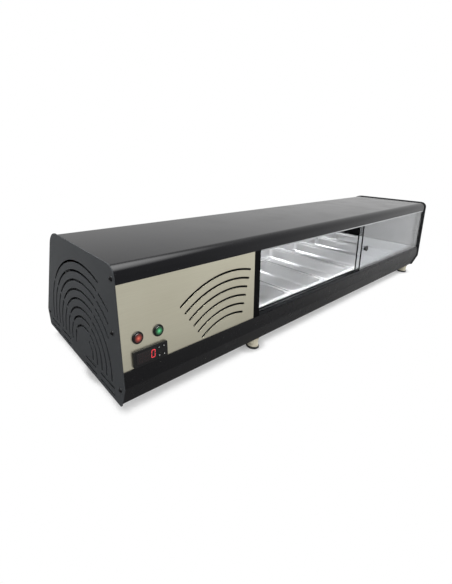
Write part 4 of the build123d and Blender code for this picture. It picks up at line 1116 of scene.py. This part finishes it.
@dataclass
class Thermostat(Assembly):
    """Panel thermostat: housing, smoked window, digit and four printed keys."""

    housing_edge: float = 0.5 * MM
    window_edge: float = 0.25 * MM
    window_thickness: float = 1.2 * MM
    key_edge: float = 0.4 * MM
    key_thickness: float = 3.0 * MM
    sign_size: float = 1.3 * MM    # radius of a key's printed sign
    sign_line: float = 0.4 * MM
    digit_height: float = 15 * MM
    digit_width: float = 8.4 * MM
    stroke: float = 1.1 * MM
    stroke_gap: float = 0.25 * MM  # between a segment's tip and its corner of the digit
    slant: float = 0.08
    ink: float = 0.06 * MM         # how far ink and digits stand off their face
    digit_places: tuple[float, ...] = (-12.5 * MM, 0.8 * MM, 14.0 * MM)

    def build(self) -> None:
        """Builds the thermostat."""
        self.eased("controller_housing", "thermostat_housing", BLACK_PLASTIC, self.housing_edge)
        self.eased("controller_window", "thermostat_window", SMOKED, self.window_edge)
        for key in ("set", "up", "power", "down"):
            self.eased(f"controller_key_{key}", f"key_{key}_cap", BLACK_PLASTIC, self.key_edge)
            self.print_key(key)
        self.digits()

    def face(self, node: str, thickness: float) -> Matrix:
        """Place with Z outwards on the face of a small block, as thick as given, in the front."""
        return on_front(middle(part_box(node))) @ Matrix.Translation((0, 0, thickness / 2))

    def bar(self, length: float, centre: tuple[float, float], upright: bool) -> BMesh:
        """One pointed segment of a digit.

        Args:
            length: from tip to tip.
            centre: its middle on the digit.
            upright: whether it stands.

        Returns:
            The thin mesh.
        """
        bm = bmesh.new()
        spots = bmesh.ops.create_circle(bm, cap_ends=True, segments=6, radius=0.5)["verts"]
        for vert in spots:
            aside = 0.0 if abs(vert.co.x) < 0.1 else copysign(self.stroke / 2, vert.co.x)
            vert.co = (aside, copysign(length / 2 - abs(aside), vert.co.y), 0)
        if not upright:
            bmesh.ops.rotate(bm, cent=(0, 0, 0), matrix=Matrix.Rotation(pi / 2, 3, "Z"),
                             verts=spots)
        bmesh.ops.translate(bm, vec=(*centre, 0), verts=spots)
        return thickened(bm, self.ink)

    def segments(self) -> list[tuple[float, tuple[float, float], bool]]:
        """Lays out the seven segments of a digit.

        Returns:
            Each segment's length, middle and whether it stands; the one across the middle last.
        """
        half = self.digit_height / 2 - self.stroke / 2
        side = self.digit_width / 2 - self.stroke / 2
        tall = half - 2 * self.stroke_gap
        wide = 2 * side - 2 * self.stroke_gap
        upright = [(tall, (x, y), True) for x in (-side, side) for y in (half / 2, -half / 2)]
        return upright + [(wide, (0, y), False) for y in (half, -half, 0)]

    def digits(self) -> None:
        """Builds three digits, of which the last shows 0 and the others are off."""
        face = self.face("controller_window", self.window_thickness)
        lean = Matrix.Identity(4)
        lean[0][1] = self.slant
        bars = []
        for across in self.digit_places:
            place = face @ Matrix.Translation((across, 0, 0)) @ lean
            bars.extend(placed(self.bar(*segment), place) for segment in self.segments())
        zero = slice(-7, -1)
        lit = bars[zero]
        del bars[zero]
        self.hand_over(gather(lit), "digit_zero", LIT_SEGMENT, "cabinet")
        self.hand_over(gather(bars), "digits_off", DARK_SEGMENT, "cabinet")

    def print_key(self, key: str) -> None:
        """Prints a plain sign on one key.

        Args:
            key: set, up, power or down.
        """
        bm = bmesh.new()
        sides = {"set": 4, "power": 24}.get(key, 3)
        bmesh.ops.create_circle(bm, cap_ends=True, segments=sides, radius=self.sign_size)
        if sides == 3:
            turn = Matrix.Rotation(0.0 if key == "up" else pi, 3, "Z")
            bmesh.ops.rotate(bm, cent=(0, 0, 0), matrix=turn, verts=bm.verts)
        else:
            inside = bm.faces[:]
            bmesh.ops.inset_individual(bm, faces=inside, thickness=self.sign_line)
            bmesh.ops.delete(bm, geom=inside, context="FACES_ONLY")
        place = self.face(f"controller_key_{key}", self.key_thickness)
        self.hand_over(placed(thickened(bm, self.ink), place), f"key_{key}_sign",
                       WHITE_INK, f"key_{key}")


@dataclass
class SlidingDoors(Assembly):
    """Two glass doors with their pulls, in aluminium tracks."""

    track_edge: float = 0.25 * MM
    pane_edge: float = 0.5 * MM
    pull_height: float = 7.2 * MM
    pull_steps: int = 40

    def build(self) -> None:
        """Builds the tracks, panes and pulls."""
        self.eased("top_track", "upper_track", TRACK_METAL, self.track_edge)
        # the lower track's near black is painted shade along the doors' foot
        self.eased("bottom_track", "lower_track", TRACK_PAINTED_SHADE, self.track_edge)
        for side in ("left", "right"):
            self.eased(f"{side}_door_pane", f"{side}_pane", DOOR_GLASS, self.pane_edge)
            self.pull(side)

    def pull(self, side: str) -> None:
        """Turns one round pull with a dished face.

        Args:
            side: left or right.
        """
        node = f"{side}_door_knob"
        low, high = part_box(node)
        radius = (high.x - low.x) / 2
        profile = [(radius * out, self.pull_height * up) for out, up in (
            (0, 0), (0.82, 0), (0.74, 0.35), (0.86, 0.6), (1, 0.78), (0.96, 0.93), (0.86, 1),
            (0.6, 0.93), (0, 0.86))]
        place = on_front(middle((low, high)) - OUTWARDS * self.pull_height / 2)
        self.hand_over(placed(turned(profile, self.pull_steps), place), f"{side}_pull",
                       BLACK_PLASTIC, f"{side}_door", [node])


@dataclass
class TraySet(Assembly):
    """Six deep-drawn trays over the cold well."""

    count: int = 6
    rim: float = 11 * MM
    rim_margin: float = 1.3 * MM   # the rolled edge's relief, so that the black bars show between rims as painted shade in the gaps
    rim_hem: float = 1.2 * MM      # how far the rim's outer edge turns down
    rim_round: float = 0.4 * MM
    rim_bend: float = 1.4 * MM     # how far from the wall the rim begins to turn down
    wall_top: float = 1.6 * MM     # how far under the rim the wall begins
    sheet: float = 0.8 * MM
    corner: float = 18 * MM
    outer_corner: float = 12 * MM
    corner_faces: int = 8
    taper: float = radians(3)
    shoulder: float = 0.8 * MM     # step in the wall on which a tray stacks
    shoulder_top: float = 0.12     # where it begins and ends, as shares of the wall's fall
    shoulder_end: float = 0.16
    floor_radius: float = 7 * MM
    floor_bends: tuple[float, ...] = (0, 22, 45, 67, 90)      # degrees round the floor's bend

    def build(self) -> None:
        """Builds the trays and dresses the well round them."""
        for number in range(1, self.count + 1):
            self.tray(f"tray_{number}")
        self.dress(ROLLED_STEEL, "cold_well")
        # the bars' black shows between the rims as painted shade in the gaps
        self.dress(SATIN_PAINT, "tray_crossbars")
        self.dress(FOAM, "well_insulation")
        self.dress(COPPER, "evaporator_coil", "temperature_probe")

    def loop(self, bm: BMesh, size: tuple[float, float], radius: float, height: float,
             keep_face: bool) -> list[BMEdge]:
        """Adds a rounded rectangle about the Z axis.

        Args:
            bm: the mesh that gets it.
            size: its width along X and length along Y.
            radius: corner radius.
            height: its Z.
            keep_face: whether the face inside stays.

        Returns:
            The loop's edges.
        """
        corners = bmesh.ops.create_grid(bm, x_segments=1, y_segments=1, size=0.5)["verts"]
        bmesh.ops.scale(bm, vec=(*size, 1.0), verts=corners)
        bmesh.ops.translate(bm, vec=(0, 0, height), verts=corners)
        made = round_off(bm, corners, radius, self.corner_faces, "VERTICES")
        face = made["verts"][0].link_faces[0]
        edges = list(face.edges)
        if not keep_face:
            bmesh.ops.delete(bm, geom=[face], context="FACES_ONLY")
        return edges

    def rings(self, depth: float) -> list[tuple[float, float, float]]:
        """Works out the tray's shape from its rim down to its floor.

        Args:
            depth: the tray's depth.

        Returns:
            The inset from the rim's box, the corner radius and the height of each ring.
        """
        inner = self.rim + self.sheet
        wall = depth - self.wall_top
        fall = wall - self.sheet - self.floor_radius
        slide = fall * tan(self.taper)
        step = inner + self.shoulder_top * slide + self.shoulder
        lower_corner = self.corner - self.shoulder
        rings = [(self.rim_margin, self.outer_corner, depth - self.rim_hem),
                 (self.rim_margin, self.outer_corner, depth - self.rim_round),
                 (self.rim_margin + self.rim_round, self.outer_corner, depth),
                 (inner - self.rim_bend, self.corner, depth),
                 (inner - self.rim_round, self.corner, depth - self.rim_round),
                 (inner, self.corner, wall),
                 (inner + 0.1 * slide, self.corner, wall - self.shoulder_top * fall),
                 (step, lower_corner, wall - self.shoulder_end * fall)]
        for bend in map(radians, self.floor_bends):
            rings.append((max(inner + slide, step) + self.floor_radius * (1 - cos(bend)),
                          lower_corner, self.sheet + self.floor_radius * (1 - sin(bend))))
        return rings

    def tray(self, node: str) -> None:
        """Draws one tray from its rim down to its floor.

        Args:
            node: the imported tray.
        """
        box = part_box(node)
        width, length, depth = box[1] - box[0]
        rings = self.rings(depth)
        bm = bmesh.new()
        loops = [self.loop(bm, (width - 2 * inset, length - 2 * inset), radius, height,
                           keep_face=ring == len(rings) - 1)
                 for ring, (inset, radius, height) in enumerate(rings)]
        for upper, lower in zip(loops, loops[1:]):
            bmesh.ops.bridge_loops(bm, edges=upper + lower)
        bmesh.ops.recalc_face_normals(bm, faces=bm.faces)
        floor = max(bm.faces, key=lambda f: f.calc_area())
        if floor.normal.z < 0:
            bmesh.ops.reverse_faces(bm, faces=bm.faces)
        self.hand_over(placed(bm, on_floor(box)), f"{node}_pan", DRAWN_STEEL, node,
                       [node], wall=self.sheet)


@dataclass
class DisplaySpace(Assembly):
    """Walls, ceiling lamp and the customer's glass round the trays."""

    pane_edge: float = 0.5 * MM
    channel_edge: float = 0.2 * MM

    def build(self) -> None:
        """Dresses the walls, the lamp and the glass."""
        self.eased("customer_glass", "rear_pane", DOOR_GLASS, self.pane_edge)
        self.eased("led_housing", "lamp_channel", TRACK_METAL, self.channel_edge)
        self.eased("led_diffuser", "lamp_strip", OPAL)
        self.dress(RUBBER, "glass_seal")
        self.dress(ROLLED_STEEL, "bulkhead", "ceiling_panel")
        self.dress(LINING, "right_wall")


@dataclass
class CoolingSet(Assembly):
    """Compressor, condenser, fan and wiring behind the control panel."""

    def build(self) -> None:
        """Dresses the machine compartment."""
        self.dress(ENAMEL, "compressor")
        self.dress(RUBBER, "compressor_grommets")
        self.dress(FINS, "condenser")
        self.dress(ZINC, "fan_shroud")
        self.dress(PLATED, "fan_motor", "filter_drier")
        self.dress(BLACK_PLASTIC, "fan_blade", "electric_box", "cable_gland")
        self.dress(COPPER, "discharge_pipe", "suction_pipe")


@dataclass
class Feet(Assembly):
    """Five pale feet on black rubber pads."""

    steps: int = 40
    stud: float = 4 * MM           # radius and length of the stud on a foot
    base: float = 2 * MM           # height of the wide base
    base_slope: float = 2 * MM     # and of the slope above it
    collar: float = 1.5 * MM       # height of the collar under the stud
    collar_slope: float = 1.5 * MM

    def build(self) -> None:
        """Turns the feet and their pads."""
        feet, pads = [], []
        for box in self.solids("feet"):
            width, _, height = box[1] - box[0]
            radius = width / 2
            top = height - self.stud
            under = top - self.collar
            feet.append(self.stood(box, [
                (0.0, 0.0), (radius, 0.0), (radius, self.base),
                (radius * 0.9, self.base + self.base_slope),
                (radius * 0.84, under - self.collar_slope), (radius * 0.95, under),
                (radius * 0.95, top), (self.stud, top), (self.stud, height), (0.0, height)]))
        for box in self.solids("foot_pads"):
            width, _, height = box[1] - box[0]
            pads.append(self.stood(box, [(width / 2 * out, height * up) for out, up in (
                (0, 0), (0.92, 0), (1, 0.25), (1, 0.7), (0.93, 1), (0, 1))]))
        for parts, name, finish, node in ((feet, "feet_bodies", FOOT_PLASTIC, "feet"),
                                          (pads, "feet_rubbers", RUBBER, "foot_pads")):
            self.hand_over(gather(parts), name, finish, "cabinet", [node])

    def stood(self, box: Box, profile: Sequence[tuple[float, float]]) -> BMesh:
        """Turns a profile, (radius, height) points from the bottom up, and stands it in a box."""
        return placed(turned(profile, self.steps), on_floor(box))


def main() -> None:
    """Builds the scene."""
    logging.basicConfig(level=logging.INFO, format="%(name)s %(message)s")
    PhotoCamera().build()
    Studio().build()
    for assembly in (Casework, MachineFront, Thermostat, SlidingDoors, TraySet, DisplaySpace,
                     CoolingSet, Feet):
        assembly(frame["nodes"]).build()
    bpy.context.view_layer.update()


if __name__ == "__main__":
    main()
